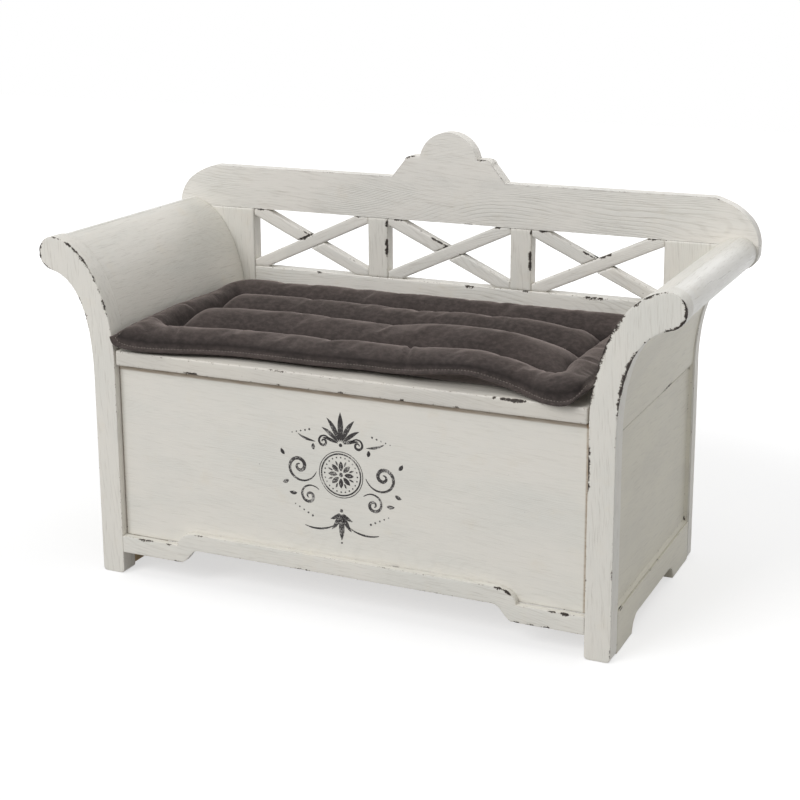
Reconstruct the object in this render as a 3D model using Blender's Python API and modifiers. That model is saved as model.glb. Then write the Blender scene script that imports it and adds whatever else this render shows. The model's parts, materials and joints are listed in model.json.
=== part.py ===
"""A painted storage bench: scrolled arms, a back with crossed bars, a lifting seat and a channelled pad.

X runs along the bench, Y from its front to its back and Z up, in metres. Outlines are drawn from the
front face of the posts at Y = 0. An empty then carries the whole bench, so that its box stands centred
on the origin.
"""

import math

import bmesh
import bpy
from mathutils import Matrix, Vector

# Overall sizes
POST_SPAN = 1.050
DEPTH = 0.549
SEAT_HEIGHT = 0.458

# Clearances
FIT_GAP = 0.0003
LID_GAP = 0.003
EDGE_ROUND = 0.0018
BOARD_ROUND = 0.0008

# Posts, and the flare and scroll that carry the arms
POST_WIDTH = 0.048
POST_THICK = 0.040
BACK_THICK = 0.030
BACK_POST_WIDTH = 0.068
SCROLL_RADIUS = 0.033
SCROLL_REACH = 0.0815
SCROLL_HEIGHT = 0.6375
FLARE_START = 0.399
FLARE_OUTER_EASE = 0.114
FLARE_OUTER_TURN = 0.063
FLARE_INNER_EASE = 0.091
FLARE_INNER_TURN = 0.088
INNER_FLARE_START = 0.433
SCROLL_UNDER_ANGLE = math.radians(-79)
SCROLL_OVER_ANGLE = math.radians(101)
FLARE_STEPS = 14
SCROLL_STEPS = 16
CURVE_STEPS = 8

# Arms between the posts
ARM_INSET = 0.0025
ARM_INNER_THICK = 0.018
ARM_OUTER_THICK = 0.015

# Ends of the chest
SIDE_RAIL_HEIGHT = 0.081
SIDE_PANEL_TOP = 0.410
SIDE_PANEL_THICK = 0.020
SIDE_FIELD_BEVEL = 0.009
SIDE_FIELD_DEPTH = 0.006
SIDE_RAIL_THICK = 0.020
SIDE_FOOT_LENGTH = 0.096
SIDE_REAR_FOOT_LENGTH = 0.107
SIDE_ARCH_HEIGHT = 0.030
LINING_THICK = 0.018
LINING_FLOOR_GAP = 0.009

# Front of the chest
APRON_THICK = 0.015
APRON_FLOOR_GAP = 0.045
APRON_ARCH_HEIGHT = 0.029
APRON_OGEE_KNEE = 0.010
APRON_OGEE_LENGTH = 0.038
APRON_FOOT_LENGTH = 0.136
APRON_LEDGE = 0.079
APRON_BAND = 0.107
APRON_BAND_FOOT = 0.167
APRON_BAND_SLOPE = 0.040
APRON_ROUND = 0.003
FRONT_PANEL_THICK = 0.018
FRONT_PANEL_BOTTOM = 0.078

# Floor and back of the chest
CHEST_FLOOR_HEIGHT = 0.092
CHEST_FLOOR_THICK = 0.012
CLEAT_SIZE = 0.020
BEARER_WIDTH = 0.040
REAR_RAIL_BOTTOM = 0.045
REAR_RAIL_TOP = 0.110
REAR_PANEL_THICK = 0.012
REAR_PANEL_INSET = 0.009

# Back frame, with three windows
BACK_RAIL_BOTTOM = 0.400
SCROLL_JOINT_RISE = 0.014
WINDOW_HEIGHT = 0.127
TOP_RAIL_HEIGHT = 0.0895
STILE_WIDTH = 0.045
MIDDLE_WINDOW_WIDTH = 0.2745
BAR_WIDTH = 0.026
BAR_THICK = 0.020
BAR_SETBACK = 0.002
BAR_ROUND = 0.0012
EAR_INSET = 0.0885
EAR_FALL_ANGLE = math.radians(15)
EAR_SHOULDER = 0.062
EAR_TURN = 0.040
CREST_RADIUS = 0.064
CREST_CENTRE_RISE = 0.033
CREST_SHOULDER_RISE = 0.046
CREST_SHOULDER_REACH = 0.079
CREST_CORNER_REACH = 0.097
CREST_CORNER_RISE = 0.036
CREST_FOOT_REACH = 0.126

# Lid and its hinges
LID_THICK = 0.030
LID_EDGE_ROUND = 0.003
BATTEN_DEPTH = 0.033
LID_CLEAT_WIDTH = 0.040
LID_CLEAT_THICK = 0.018
LID_CLEAT_INSET = 0.174
LID_CLEAT_START = 0.060
LID_CLEAT_END = 0.430
HINGE_INSET = 0.084
HINGE_LENGTH = 0.060
HINGE_KNUCKLES = 3
KNUCKLE_RADIUS = 0.0032
PIN_RADIUS = 0.0015
PIN_GAP = 0.0003
LEAF_THICK = 0.0012
LEAF_HEIGHT = 0.024
ROUND_SIDES = 16

# Seat pad. Its front edge waves, as shares of the half length and distances behind the posts' faces.
PAD_END_GAP = 0.004
PAD_BACK_GAP = 0.003
PAD_HEM = 0.006
PAD_HEM_WIDTH = 0.012
PAD_END_HEM_WIDTH = 0.005
PAD_BACK_HEM_WIDTH = 0.005
PAD_SEAM_RISE = 0.016
PAD_CROWNS = (0.040, 0.049, 0.051, 0.058)
PAD_SEAMS = (0.132, 0.262, 0.375)
PAD_SEAM_WAVES = (1.0, 0.45, 0.15)
PAD_LEFT_ROLL = 0.060
PAD_RIGHT_ROLL = 0.080
PAD_ROLL_END = 0.055
PAD_DRAW_IN = 0.006
PAD_FRONT_MEAN = 0.040
PAD_FRONT_EDGE = (
    (-1.00, -0.004), (-0.87, -0.009), (-0.64, 0.024), (-0.36, 0.040), (0.25, 0.046),
    (0.53, 0.070), (0.71, 0.036), (0.89, -0.018), (1.00, -0.002),
)
PAD_ROLL_CELLS = 5
PAD_LENGTH_CELLS = 24

# Places worked out from the sizes above
HALF_SPAN = POST_SPAN / 2
POST_INNER = HALF_SPAN - POST_WIDTH
BACK_POST_INNER = HALF_SPAN - BACK_POST_WIDTH
BACK_FRONT = DEPTH - BACK_THICK
LID_BOTTOM = SEAT_HEIGHT - LID_THICK
BATTEN_FRONT = BACK_FRONT - FIT_GAP - BATTEN_DEPTH
HINGE_GAP = 2 * (KNUCKLE_RADIUS + FIT_GAP)
LID_BACK = BATTEN_FRONT - HINGE_GAP
HINGE_Y = BATTEN_FRONT - HINGE_GAP / 2
HINGE_Z = SEAT_HEIGHT
LID_HALF_LENGTH = POST_INNER - LID_GAP
LID_CLEAT_SPACING = LID_HALF_LENGTH - LID_CLEAT_INSET
HINGE_SPACING = LID_HALF_LENGTH - HINGE_INSET
SCROLL_CENTRE = (HALF_SPAN + SCROLL_REACH, SCROLL_HEIGHT)
SCROLL_EDGE = SCROLL_CENTRE[0] + SCROLL_RADIUS
EAR_START = SCROLL_EDGE - EAR_INSET
WINDOW_TOP = SCROLL_HEIGHT + SCROLL_JOINT_RISE
WINDOW_BOTTOM = WINDOW_TOP - WINDOW_HEIGHT
BACK_HEIGHT = WINDOW_TOP + TOP_RAIL_HEIGHT
APRON_FOOT_REACH = POST_INNER - APRON_FOOT_LENGTH
APRON_ARCH_REACH = APRON_FOOT_REACH - APRON_OGEE_LENGTH
APRON_BAND_REACH = POST_INNER - APRON_BAND_FOOT
PAD_BACK = LID_BACK - PAD_BACK_GAP
PAD_HALF_LENGTH = POST_INNER - PAD_END_GAP
PAD_OVERHANG = -min(y for _, y in PAD_FRONT_EDGE)
MIDDLE_Y = (DEPTH - PAD_OVERHANG) / 2

SIDES = (("left", -1), ("right", 1))

# Shading and modelling settings
WELD_DISTANCE = 0.00002
BEVEL_FROM_ANGLE = math.radians(40)
BOX_SHARP_ANGLE = math.radians(35)
ROUND_SHARP_ANGLE = math.radians(40)
PAD_SHARP_ANGLE = math.radians(60)
PAINT_ROUGHNESS = 0.6
METAL_ROUGHNESS = 0.35
VELVET_ROUGHNESS = 0.9

PAINT = (0.66, 0.64, 0.60)
SHADED_PAINT = (0.58, 0.57, 0.53)
BARE_WOOD = (0.46, 0.36, 0.25)
VELVET = (0.075, 0.062, 0.060)
BRASS = (0.55, 0.42, 0.20)
STEEL = (0.45, 0.44, 0.42)


def clear_scene():
    for item in list(bpy.data.objects):
        bpy.data.objects.remove(item, do_unlink=True)


def collection(name):
    group = bpy.data.collections.new(name)
    bpy.context.scene.collection.children.link(group)
    return group


def empty(name, location, parent, group):
    item = bpy.data.objects.new(name, None)
    item.location = location
    item.parent = parent
    group.objects.link(item)
    return item


def finish(item, colour, roughness=PAINT_ROUGHNESS, metallic=0.0):
    material = bpy.data.materials.new(item.name)
    material.use_nodes = True
    shader = material.node_tree.nodes["Principled BSDF"]
    shader.inputs["Base Color"].default_value = (*colour, 1.0)
    shader.inputs["Roughness"].default_value = roughness
    shader.inputs["Metallic"].default_value = metallic
    item.data.materials.append(material)


def bevel(item, width, segments=2):
    edge = item.modifiers.new("rounded edges", "BEVEL")
    edge.width = width
    edge.segments = segments
    edge.limit_method = "ANGLE"
    edge.angle_limit = BEVEL_FROM_ANGLE


def place(item, group, parent, location):
    item.location = location
    item.parent = parent
    group.objects.link(item)
    return item


def arc(centre, radii, start, end, steps):
    turn = (end - start) / steps
    angles = [start + turn * i for i in range(steps + 1)]
    return [(centre[0] + radii[0] * math.cos(a), centre[1] + radii[1] * math.sin(a)) for a in angles]


def bezier(start, start_handle, end_handle, end, steps, shift=0):
    """Points along a cubic curve, moved by shift to the left of its direction."""
    points = []
    for i in range(steps + 1):
        t = i / steps
        weights = ((1 - t) ** 3, 3 * (1 - t) ** 2 * t, 3 * (1 - t) * t * t, t ** 3)
        slopes = ((1 - t) ** 2, 2 * (1 - t) * t, t * t)
        corners = [Vector(corner) for corner in (start, start_handle, end_handle, end)]
        point = sum((w * c for w, c in zip(weights, corners)), Vector((0, 0)))
        run = sum((w * (b - a) for w, a, b in zip(slopes, corners, corners[1:])), Vector((0, 0)))
        run.normalize()
        points.append((point.x - run.y * shift, point.y + run.x * shift))
    return points


def mirrored(half):
    """The outline whose right half, from the bottom up, is given."""
    return half + [(-x, z) for x, z in reversed(half) if x > 0]


FACING = {
    "front": (math.radians(90), 0, 0),
    "side": (math.radians(90), 0, math.radians(90)),
}


def plate(name, outline, thickness, facing, edge=EDGE_ROUND):
    """A board cut to an outline of (along, up) points, rounded at its rims."""
    area = sum(a[0] * b[1] - b[0] * a[1] for a, b in zip(outline, outline[1:] + outline[:1]))
    points = outline if area > 0 else list(reversed(outline))
    curve = bpy.data.curves.new(name, "CURVE")
    curve.dimensions = "2D"
    curve.fill_mode = "BOTH"
    curve.extrude = thickness / 2
    spline = curve.splines.new("POLY")
    spline.points.add(len(points) - 1)
    for point, (x, y) in zip(spline.points, points):
        point.co = (x, y, 0, 1)
    spline.use_cyclic_u = True
    item = bpy.data.objects.new(name, curve)
    item.rotation_euler = FACING[facing]
    weld = item.modifiers.new("closed caps", "WELD")
    weld.merge_threshold = WELD_DISTANCE
    if edge:
        bevel(item, edge)
    return item


def block(name, low, high, edge=EDGE_ROUND, segments=2):
    """A squared board between two corners. Its origin is at its middle."""
    mesh = bpy.data.meshes.new(name)
    shape = bmesh.new()
    bmesh.ops.create_cube(shape, size=1.0)
    size = [h - l for l, h in zip(low, high)]
    bmesh.ops.scale(shape, vec=size, verts=shape.verts)
    shape.to_mesh(mesh)
    shape.free()
    mesh.shade_smooth()
    mesh.set_sharp_from_angle(angle=BOX_SHARP_ANGLE)
    item = bpy.data.objects.new(name, mesh)
    item.location = [(l + h) / 2 for l, h in zip(low, high)]
    if edge:
        bevel(item, edge, segments)
    return item


def scroll_point(angle, radius):
    return (
        SCROLL_CENTRE[0] + radius * math.cos(angle),
        SCROLL_CENTRE[1] + radius * math.sin(angle),
    )


def flare_outer(inset=0):
    """The outer edge of a right post, from below the arm up to the underside of its scroll."""
    end = scroll_point(SCROLL_UNDER_ANGLE, SCROLL_RADIUS)
    handle = (
        end[0] + FLARE_OUTER_TURN * math.sin(SCROLL_UNDER_ANGLE),
        end[1] - FLARE_OUTER_TURN * math.cos(SCROLL_UNDER_ANGLE),
    )
    start = (HALF_SPAN, FLARE_START)
    start_handle = (HALF_SPAN, FLARE_START + FLARE_OUTER_EASE)
    return bezier(start, start_handle, handle, end, FLARE_STEPS, inset)


def flare_inner(inset=0):
    """The inner edge of a right post, from the top of its scroll down to the seat."""
    start = scroll_point(SCROLL_OVER_ANGLE, SCROLL_RADIUS)
    handle = (
        start[0] - FLARE_INNER_TURN * math.sin(SCROLL_OVER_ANGLE),
        start[1] + FLARE_INNER_TURN * math.cos(SCROLL_OVER_ANGLE),
    )
    end = (POST_INNER, INNER_FLARE_START)
    end_handle = (POST_INNER, INNER_FLARE_START + FLARE_INNER_EASE)
    return bezier(start, handle, end_handle, end, FLARE_STEPS, inset)


def sided(points, side):
    return [(side * x, z) for x, z in points]


def front_post(side_name, side):
    radii = (SCROLL_RADIUS, SCROLL_RADIUS)
    head = arc(SCROLL_CENTRE, radii, SCROLL_UNDER_ANGLE, SCROLL_OVER_ANGLE, SCROLL_STEPS)
    outline = [(POST_INNER, 0), (HALF_SPAN, 0)] + flare_outer() + head[1:-1] + flare_inner()
    item = plate(f"front_post_{side_name}", sided(outline, side), POST_THICK, "front")
    return item, (0, POST_THICK / 2, 0), PAINT


def rear_post(side_name, side):
    head = arc(SCROLL_CENTRE, (SCROLL_RADIUS, SCROLL_RADIUS), SCROLL_UNDER_ANGLE, 0, SCROLL_STEPS // 2)
    joint = WINDOW_TOP - FIT_GAP
    outline = [(BACK_POST_INNER, 0), (HALF_SPAN, 0)] + flare_outer() + head[1:]
    outline += [(head[-1][0], joint), (BACK_POST_INNER, joint)]
    item = plate(f"rear_post_{side_name}", sided(outline, side), BACK_THICK, "front")
    return item, (0, BACK_FRONT + BACK_THICK / 2, 0), PAINT


def cut_above(line, height):
    """The part of a line above a height, brought straight down to it."""
    kept = [point for point in line if point[1] > height]
    foot_x = min(line, key=lambda point: point[1])[0]
    if line[0][1] < line[-1][1]:
        return [(foot_x, height)] + kept
    return kept + [(foot_x, height)]


def arm_parts(side_name, side):
    """Two curved boards and a half-round roll between the posts, a little inside the posts' edges."""
    start = POST_THICK + FIT_GAP
    end = BACK_FRONT - FIT_GAP
    length = end - start
    centre = (0, (start + end) / 2, 0)

    seat = LID_BOTTOM + FIT_GAP
    face = cut_above(flare_inner(ARM_INSET), seat)
    back = cut_above(flare_inner(ARM_INSET + ARM_INNER_THICK), seat)
    outline = sided(face + list(reversed(back)), side)
    inner_board = plate(f"arm_inner_board_{side_name}", outline, length, "front", BOARD_ROUND)

    bottom = SIDE_PANEL_TOP + FIT_GAP
    face = cut_above(flare_outer(ARM_INSET), bottom)
    back = cut_above(flare_outer(ARM_INSET + ARM_OUTER_THICK), bottom)
    outline = sided(face + list(reversed(back)), side)
    outer_board = plate(f"arm_outer_board_{side_name}", outline, length, "front", BOARD_ROUND)

    radius = SCROLL_RADIUS - ARM_INSET
    clear = FIT_GAP / radius
    under = SCROLL_UNDER_ANGLE + clear
    over = SCROLL_OVER_ANGLE - clear
    half_round = arc(SCROLL_CENTRE, (radius, radius), under, over, SCROLL_STEPS)
    roll = plate(f"arm_roll_{side_name}", sided(half_round, side), length, "front", BOARD_ROUND)
    return [(inner_board, centre, PAINT), (outer_board, centre, SHADED_PAINT), (roll, centre, PAINT)]


def chest_end(side_name, side):
    front = POST_THICK + FIT_GAP
    back = BACK_FRONT - FIT_GAP
    outer = HALF_SPAN - ARM_INSET

    panel = block(
        f"side_panel_{side_name}",
        (side * outer - (SIDE_PANEL_THICK if side > 0 else 0), front, SIDE_RAIL_HEIGHT + FIT_GAP),
        (side * outer + (0 if side > 0 else SIDE_PANEL_THICK), back, SIDE_PANEL_TOP),
        BOARD_ROUND,
    )
    shape = bmesh.new()
    shape.from_mesh(panel.data)
    outside = [face for face in shape.faces if round(face.normal.x) == side]
    bmesh.ops.inset_region(shape, faces=outside, thickness=SIDE_FIELD_BEVEL, depth=-SIDE_FIELD_DEPTH)
    shape.to_mesh(panel.data)
    shape.free()

    arch_front = front + SIDE_FOOT_LENGTH
    arch_back = back - SIDE_REAR_FOOT_LENGTH
    ease = (SIDE_ARCH_HEIGHT, SIDE_ARCH_HEIGHT)
    foot_curve = arc((arch_front + ease[0], 0), ease, math.pi, math.pi / 2, CURVE_STEPS)
    rear_curve = arc((arch_back - ease[0], 0), ease, math.pi / 2, 0, CURVE_STEPS)
    outline = [(front, 0)] + foot_curve + rear_curve
    outline += [(back, 0), (back, SIDE_RAIL_HEIGHT), (front, SIDE_RAIL_HEIGHT)]
    rail = plate(f"side_rail_{side_name}", outline, SIDE_RAIL_THICK, "side")
    rail_centre = (side * (HALF_SPAN - SIDE_RAIL_THICK / 2), 0, 0)

    lining_outer = POST_INNER + LINING_THICK
    lining_up = (LINING_FLOOR_GAP, LID_BOTTOM)
    lining = block(
        f"side_lining_{side_name}",
        *crosswise(side, POST_INNER, lining_outer, (front, back), lining_up),
    )
    cleat_y = (APRON_THICK + FRONT_PANEL_THICK + 2 * FIT_GAP, back)
    cleat_inner = POST_INNER - FIT_GAP - CLEAT_SIZE
    cleat_outer = POST_INNER - FIT_GAP
    seat_top = LID_BOTTOM - FIT_GAP
    seat_cleat = block(
        f"seat_cleat_{side_name}",
        *crosswise(side, cleat_inner, cleat_outer, (front, back), (seat_top - CLEAT_SIZE, seat_top)),
    )
    floor_top = CHEST_FLOOR_HEIGHT - FIT_GAP
    floor_cleat = block(
        f"floor_cleat_{side_name}",
        *crosswise(side, cleat_inner, cleat_outer, cleat_y, (floor_top - CLEAT_SIZE, floor_top)),
    )
    return [
        (panel, None, SHADED_PAINT),
        (rail, rail_centre, SHADED_PAINT),
        (lining, None, BARE_WOOD),
        (seat_cleat, None, BARE_WOOD),
        (floor_cleat, None, BARE_WOOD),
    ]


def crosswise(side, near, far, along, up):
    """The corners of a block that lies from near to far of the middle, on one side of it."""
    low, high = sorted((side * near, side * far))
    return (low, along[0], up[0]), (high, along[1], up[1])


def chest_front():
    """The flat panel, and the apron with its raised band and its ogee arch in front of it."""
    half = POST_INNER - FIT_GAP
    arch = APRON_FLOOR_GAP + APRON_ARCH_HEIGHT
    middle_reach = (APRON_ARCH_REACH + APRON_FOOT_REACH) / 2
    knee = (middle_reach, APRON_FLOOR_GAP + APRON_OGEE_KNEE)
    foot = (APRON_FOOT_REACH, APRON_FLOOR_GAP)
    ogee = bezier((APRON_ARCH_REACH, arch), (middle_reach, arch), knee, foot, CURVE_STEPS)
    slope = (APRON_BAND_SLOPE, APRON_BAND - APRON_LEDGE)
    shoulder = arc((APRON_BAND_REACH, APRON_LEDGE), slope, 0, math.pi / 2, CURVE_STEPS)
    right = ogee + [(half, APRON_FLOOR_GAP), (half, APRON_LEDGE)] + shoulder
    apron = plate("front_apron", mirrored(right), APRON_THICK, "front", APRON_ROUND)
    panel = block(
        "front_panel",
        (-half, APRON_THICK + FIT_GAP, FRONT_PANEL_BOTTOM),
        (half, APRON_THICK + FIT_GAP + FRONT_PANEL_THICK, LID_BOTTOM - LID_GAP),
    )
    return [(apron, (0, APRON_THICK / 2, 0), PAINT), (panel, None, PAINT)]


def chest_floor():
    inner = POST_INNER - FIT_GAP
    front = APRON_THICK + FRONT_PANEL_THICK + 2 * FIT_GAP
    back = BACK_FRONT - FIT_GAP
    top = CHEST_FLOOR_HEIGHT + CHEST_FLOOR_THICK
    board = block("chest_floor", (-inner, POST_THICK + FIT_GAP, CHEST_FLOOR_HEIGHT), (inner, back, top))
    under = CHEST_FLOOR_HEIGHT - FIT_GAP
    bearer_half = BEARER_WIDTH / 2
    bearer = block("floor_bearer", (-bearer_half, front, under - CLEAT_SIZE), (bearer_half, back, under))
    return [(board, None, BARE_WOOD), (bearer, None, BARE_WOOD)]


def chest_back():
    half = BACK_POST_INNER - FIT_GAP
    rail = block("rear_rail", (-half, BACK_FRONT, REAR_RAIL_BOTTOM), (half, DEPTH, REAR_RAIL_TOP))
    panel_back = DEPTH - REAR_PANEL_INSET
    panel = block(
        "rear_panel",
        (-half, panel_back - REAR_PANEL_THICK, REAR_RAIL_TOP + FIT_GAP),
        (half, panel_back, BACK_RAIL_BOTTOM - FIT_GAP),
    )
    return [(rail, None, PAINT), (panel, None, PAINT)]


def back_frame():
    """The crested top rail, the lower rail and the stiles that make three windows between the rear posts."""
    half = BACK_POST_INNER - FIT_GAP
    centre = (0, BACK_FRONT + BACK_THICK / 2, 0)
    fall = (math.cos(EAR_FALL_ANGLE) * EAR_SHOULDER, math.sin(EAR_FALL_ANGLE) * EAR_SHOULDER)
    ear = bezier(
        (SCROLL_EDGE, WINDOW_TOP),
        (SCROLL_EDGE, WINDOW_TOP + EAR_TURN),
        (EAR_START + fall[0], BACK_HEIGHT - fall[1]),
        (EAR_START, BACK_HEIGHT),
        FLARE_STEPS,
    )
    shoulder = BACK_HEIGHT + CREST_SHOULDER_RISE
    corner = arc(
        (CREST_SHOULDER_REACH, BACK_HEIGHT + CREST_CORNER_RISE),
        (CREST_CORNER_REACH - CREST_SHOULDER_REACH, CREST_SHOULDER_RISE - CREST_CORNER_RISE),
        0, math.pi / 2, CURVE_STEPS,
    )
    crest_centre = (0, BACK_HEIGHT + CREST_CENTRE_RISE)
    start = math.asin((CREST_SHOULDER_RISE - CREST_CENTRE_RISE) / CREST_RADIUS)
    crest = arc(crest_centre, (CREST_RADIUS, CREST_RADIUS), start, math.pi / 2, SCROLL_STEPS)
    right = ear + [(CREST_FOOT_REACH, BACK_HEIGHT)] + corner + crest
    top_rail = plate("back_top_rail", mirrored(right), BACK_THICK, "front")
    low_rail = block("back_low_rail", (-half, BACK_FRONT, BACK_RAIL_BOTTOM), (half, DEPTH, WINDOW_BOTTOM))
    parts = [(top_rail, centre, PAINT), (low_rail, None, PAINT)]
    inner = MIDDLE_WINDOW_WIDTH / 2
    up = (WINDOW_BOTTOM + FIT_GAP, WINDOW_TOP - FIT_GAP)
    for side_name, side in SIDES:
        corners = crosswise(side, inner, inner + STILE_WIDTH, (BACK_FRONT, DEPTH), up)
        parts.append((block(f"back_stile_{side_name}", *corners), None, PAINT))
    return parts


def windows():
    """The three windows of the back, as (name, left, right)."""
    inner = MIDDLE_WINDOW_WIDTH / 2
    outer = inner + STILE_WIDTH
    return (
        ("left", -BACK_POST_INNER, -outer),
        ("middle", -inner, inner),
        ("right", outer, BACK_POST_INNER),
    )


def cross_bars(cutters, parent):
    """Two bars cross each window from corner to corner and are halved where they meet."""
    parts = []
    height = WINDOW_TOP - WINDOW_BOTTOM
    middle_z = (WINDOW_TOP + WINDOW_BOTTOM) / 2
    middle_y = BACK_FRONT + BAR_SETBACK + BAR_THICK / 2
    for window, left, right in windows():
        width = right - left
        centre = ((left + right) / 2, middle_y, middle_z)
        slope = math.atan2(height, width)
        opening = block(
            f"window_cutter_{window}",
            (left + FIT_GAP, BACK_FRONT, WINDOW_BOTTOM + FIT_GAP),
            (right - FIT_GAP, DEPTH, WINDOW_TOP - FIT_GAP),
            0,
        )
        hide(opening, cutters, parent)
        for name, turn, notch_side in (("rising", -1, 1), ("falling", 1, -1)):
            length = math.hypot(width, height)
            half = (length / 2, BAR_THICK / 2, BAR_WIDTH / 2)
            bar = block(f"{window}_{name}_bar", [-h for h in half], half, 0)
            bar.rotation_euler = (0, turn * slope, 0)
            notch_half = BAR_WIDTH / 2 + FIT_GAP
            depth = (0, BAR_THICK) if notch_side > 0 else (-BAR_THICK, 0)
            notch = block(
                f"{window}_{name}_notch",
                (-length / 4, depth[0] - FIT_GAP / 2 * notch_side, -notch_half),
                (length / 4, depth[1] - FIT_GAP / 2 * notch_side, notch_half),
                0,
            )
            offset = notch.location.copy()
            hide(notch, cutters, parent)
            notch.location = Vector(centre) + offset
            notch.rotation_euler = (0, -turn * slope, 0)
            boolean(bar, opening, "INTERSECT")
            boolean(bar, notch, "DIFFERENCE")
            bevel(bar, BAR_ROUND, 1)
            parts.append((bar, centre, PAINT))
    return parts


def hide(item, cutters, parent):
    item.parent = parent
    item.hide_render = True
    item.display_type = "WIRE"
    cutters.objects.link(item)


def boolean(item, other, operation):
    cut = item.modifiers.new(other.name, "BOOLEAN")
    cut.operation = operation
    cut.solver = "EXACT"
    cut.object = other


def lid_parts():
    """Boards of the lid, placed from its hinge axis."""
    lid = block(
        "seat_lid",
        from_hinge(-LID_HALF_LENGTH, FIT_GAP, LID_BOTTOM),
        from_hinge(LID_HALF_LENGTH, LID_BACK, SEAT_HEIGHT),
        LID_EDGE_ROUND,
        3,
    )
    parts = [(lid, None, PAINT)]
    top = LID_BOTTOM - FIT_GAP
    for name, middle in (("left", -LID_CLEAT_SPACING), ("middle", 0), ("right", LID_CLEAT_SPACING)):
        cleat = block(
            f"lid_cleat_{name}",
            from_hinge(middle - LID_CLEAT_WIDTH / 2, LID_CLEAT_START, top - LID_CLEAT_THICK),
            from_hinge(middle + LID_CLEAT_WIDTH / 2, LID_CLEAT_END, top),
        )
        parts.append((cleat, None, BARE_WOOD))
    return parts


def from_hinge(x, y, z):
    """A point of the bench, measured from the lid's hinge axis."""
    return (x, y - HINGE_Y, z - HINGE_Z)


def hinge_batten():
    half = POST_INNER - FIT_GAP
    batten = block(
        "hinge_batten",
        (-half, BATTEN_FRONT, LID_BOTTOM),
        (half, BACK_FRONT - FIT_GAP, SEAT_HEIGHT),
        LID_EDGE_ROUND,
        3,
    )
    return [(batten, None, PAINT)]


def rod(name, radius, start, end):
    """A round bar along X, on the axis of its own origin."""
    mesh = bpy.data.meshes.new(name)
    shape = bmesh.new()
    length = end - start
    turn = Matrix.Translation(((start + end) / 2, 0, 0)) @ Matrix.Rotation(math.radians(90), 4, "Y")
    bmesh.ops.create_cone(
        shape,
        cap_ends=True,
        segments=ROUND_SIDES,
        radius1=radius,
        radius2=radius,
        depth=length,
        matrix=turn,
    )
    shape.to_mesh(mesh)
    shape.free()
    mesh.shade_smooth()
    mesh.set_sharp_from_angle(angle=ROUND_SHARP_ANGLE)
    return bpy.data.objects.new(name, mesh)


def joined(name, items):
    """One mesh object from several that don't touch, for use as a cutter."""
    shape = bmesh.new()
    for item in items:
        own = item.data.copy()
        own.transform(Matrix.Translation(item.location))
        shape.from_mesh(own)
        bpy.data.meshes.remove(own)
        bpy.data.objects.remove(item)
    mesh = bpy.data.meshes.new(name)
    shape.to_mesh(mesh)
    shape.free()
    return bpy.data.objects.new(name, mesh)


def butt_hinge(name, x, cutters, frame_empty, lid_empty):
    """A butt hinge in the gap behind the lid: one leaf on the lid, one on the batten, and their pin."""
    knuckle = HINGE_LENGTH / HINGE_KNUCKLES
    leaf_top = -KNUCKLE_RADIUS + FIT_GAP
    parts = []
    leaves = (("lid_leaf", -1, lid_empty, 1), ("batten_leaf", 1, frame_empty, 0))
    for leaf_name, toward, parent, first in leaves:
        axis = (x, 0, 0) if parent is lid_empty else (x, HINGE_Y, HINGE_Z)
        face = toward * KNUCKLE_RADIUS
        near, far = sorted((face, face - toward * LEAF_THICK))
        leaf = block(
            f"{leaf_name}_{name}",
            (-HINGE_LENGTH / 2, near, leaf_top - LEAF_HEIGHT),
            (HINGE_LENGTH / 2, far, leaf_top),
            0,
        )
        leaf.data.transform(Matrix.Translation(leaf.location))
        risers = []
        barrels = []
        for i in range(first, HINGE_KNUCKLES, 2):
            start = -HINGE_LENGTH / 2 + i * knuckle + FIT_GAP / 2
            end = start + knuckle - FIT_GAP
            risers.append(block("riser", (start, near, leaf_top - LEAF_THICK), (end, far, -LEAF_THICK), 0))
            barrels.append(rod("barrel", KNUCKLE_RADIUS, start, end))
        riser = joined(f"{leaf_name}_{name}_risers", risers)
        barrel = joined(f"{leaf_name}_{name}_barrels", barrels)
        bore = rod(f"{leaf_name}_{name}_bore", PIN_RADIUS + PIN_GAP, -HINGE_LENGTH, HINGE_LENGTH)
        for operand, operation in ((riser, "UNION"), (barrel, "UNION"), (bore, "DIFFERENCE")):
            hide(operand, cutters, parent)
            operand.location = axis
            boolean(leaf, operand, operation)
        parts.append((leaf, axis, BRASS, parent))
    pin = rod(f"hinge_pin_{name}", PIN_RADIUS, -HINGE_LENGTH / 2, HINGE_LENGTH / 2)
    parts.append((pin, (x, HINGE_Y, HINGE_Z), STEEL, frame_empty))
    return parts


def pad_front(share):
    """How far behind the posts' faces the pad's front edge lies, on a smooth curve through its keys."""
    keys = PAD_FRONT_EDGE
    i = max(k for k in range(len(keys) - 1) if keys[k][0] <= share)
    (x0, y0), (x1, y1) = keys[i], keys[i + 1]
    before = keys[i - 1] if i > 0 else keys[i]
    after = keys[i + 2] if i + 2 < len(keys) else keys[i + 1]
    span = x1 - x0
    lead = (y1 - before[1]) / (x1 - before[0]) * span
    trail = (after[1] - y0) / (after[0] - x0) * span
    t = (share - x0) / span
    return (
        y0 * (2 * t ** 3 - 3 * t ** 2 + 1) + lead * (t ** 3 - 2 * t ** 2 + t)
        + y1 * (3 * t ** 2 - 2 * t ** 3) + trail * (t ** 3 - t ** 2)
    )


def pad_lines(share):
    """The pad's front edge, three cross seams and back edge, along one line from front to back."""
    front = pad_front(share)
    wave = front - PAD_FRONT_MEAN
    return [front] + [seam + wave * follow for seam, follow in zip(PAD_SEAMS, PAD_SEAM_WAVES)] + [PAD_BACK]


def bulge(share):
    return 2 * math.sqrt(max(share * (1 - share), 0))


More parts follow.
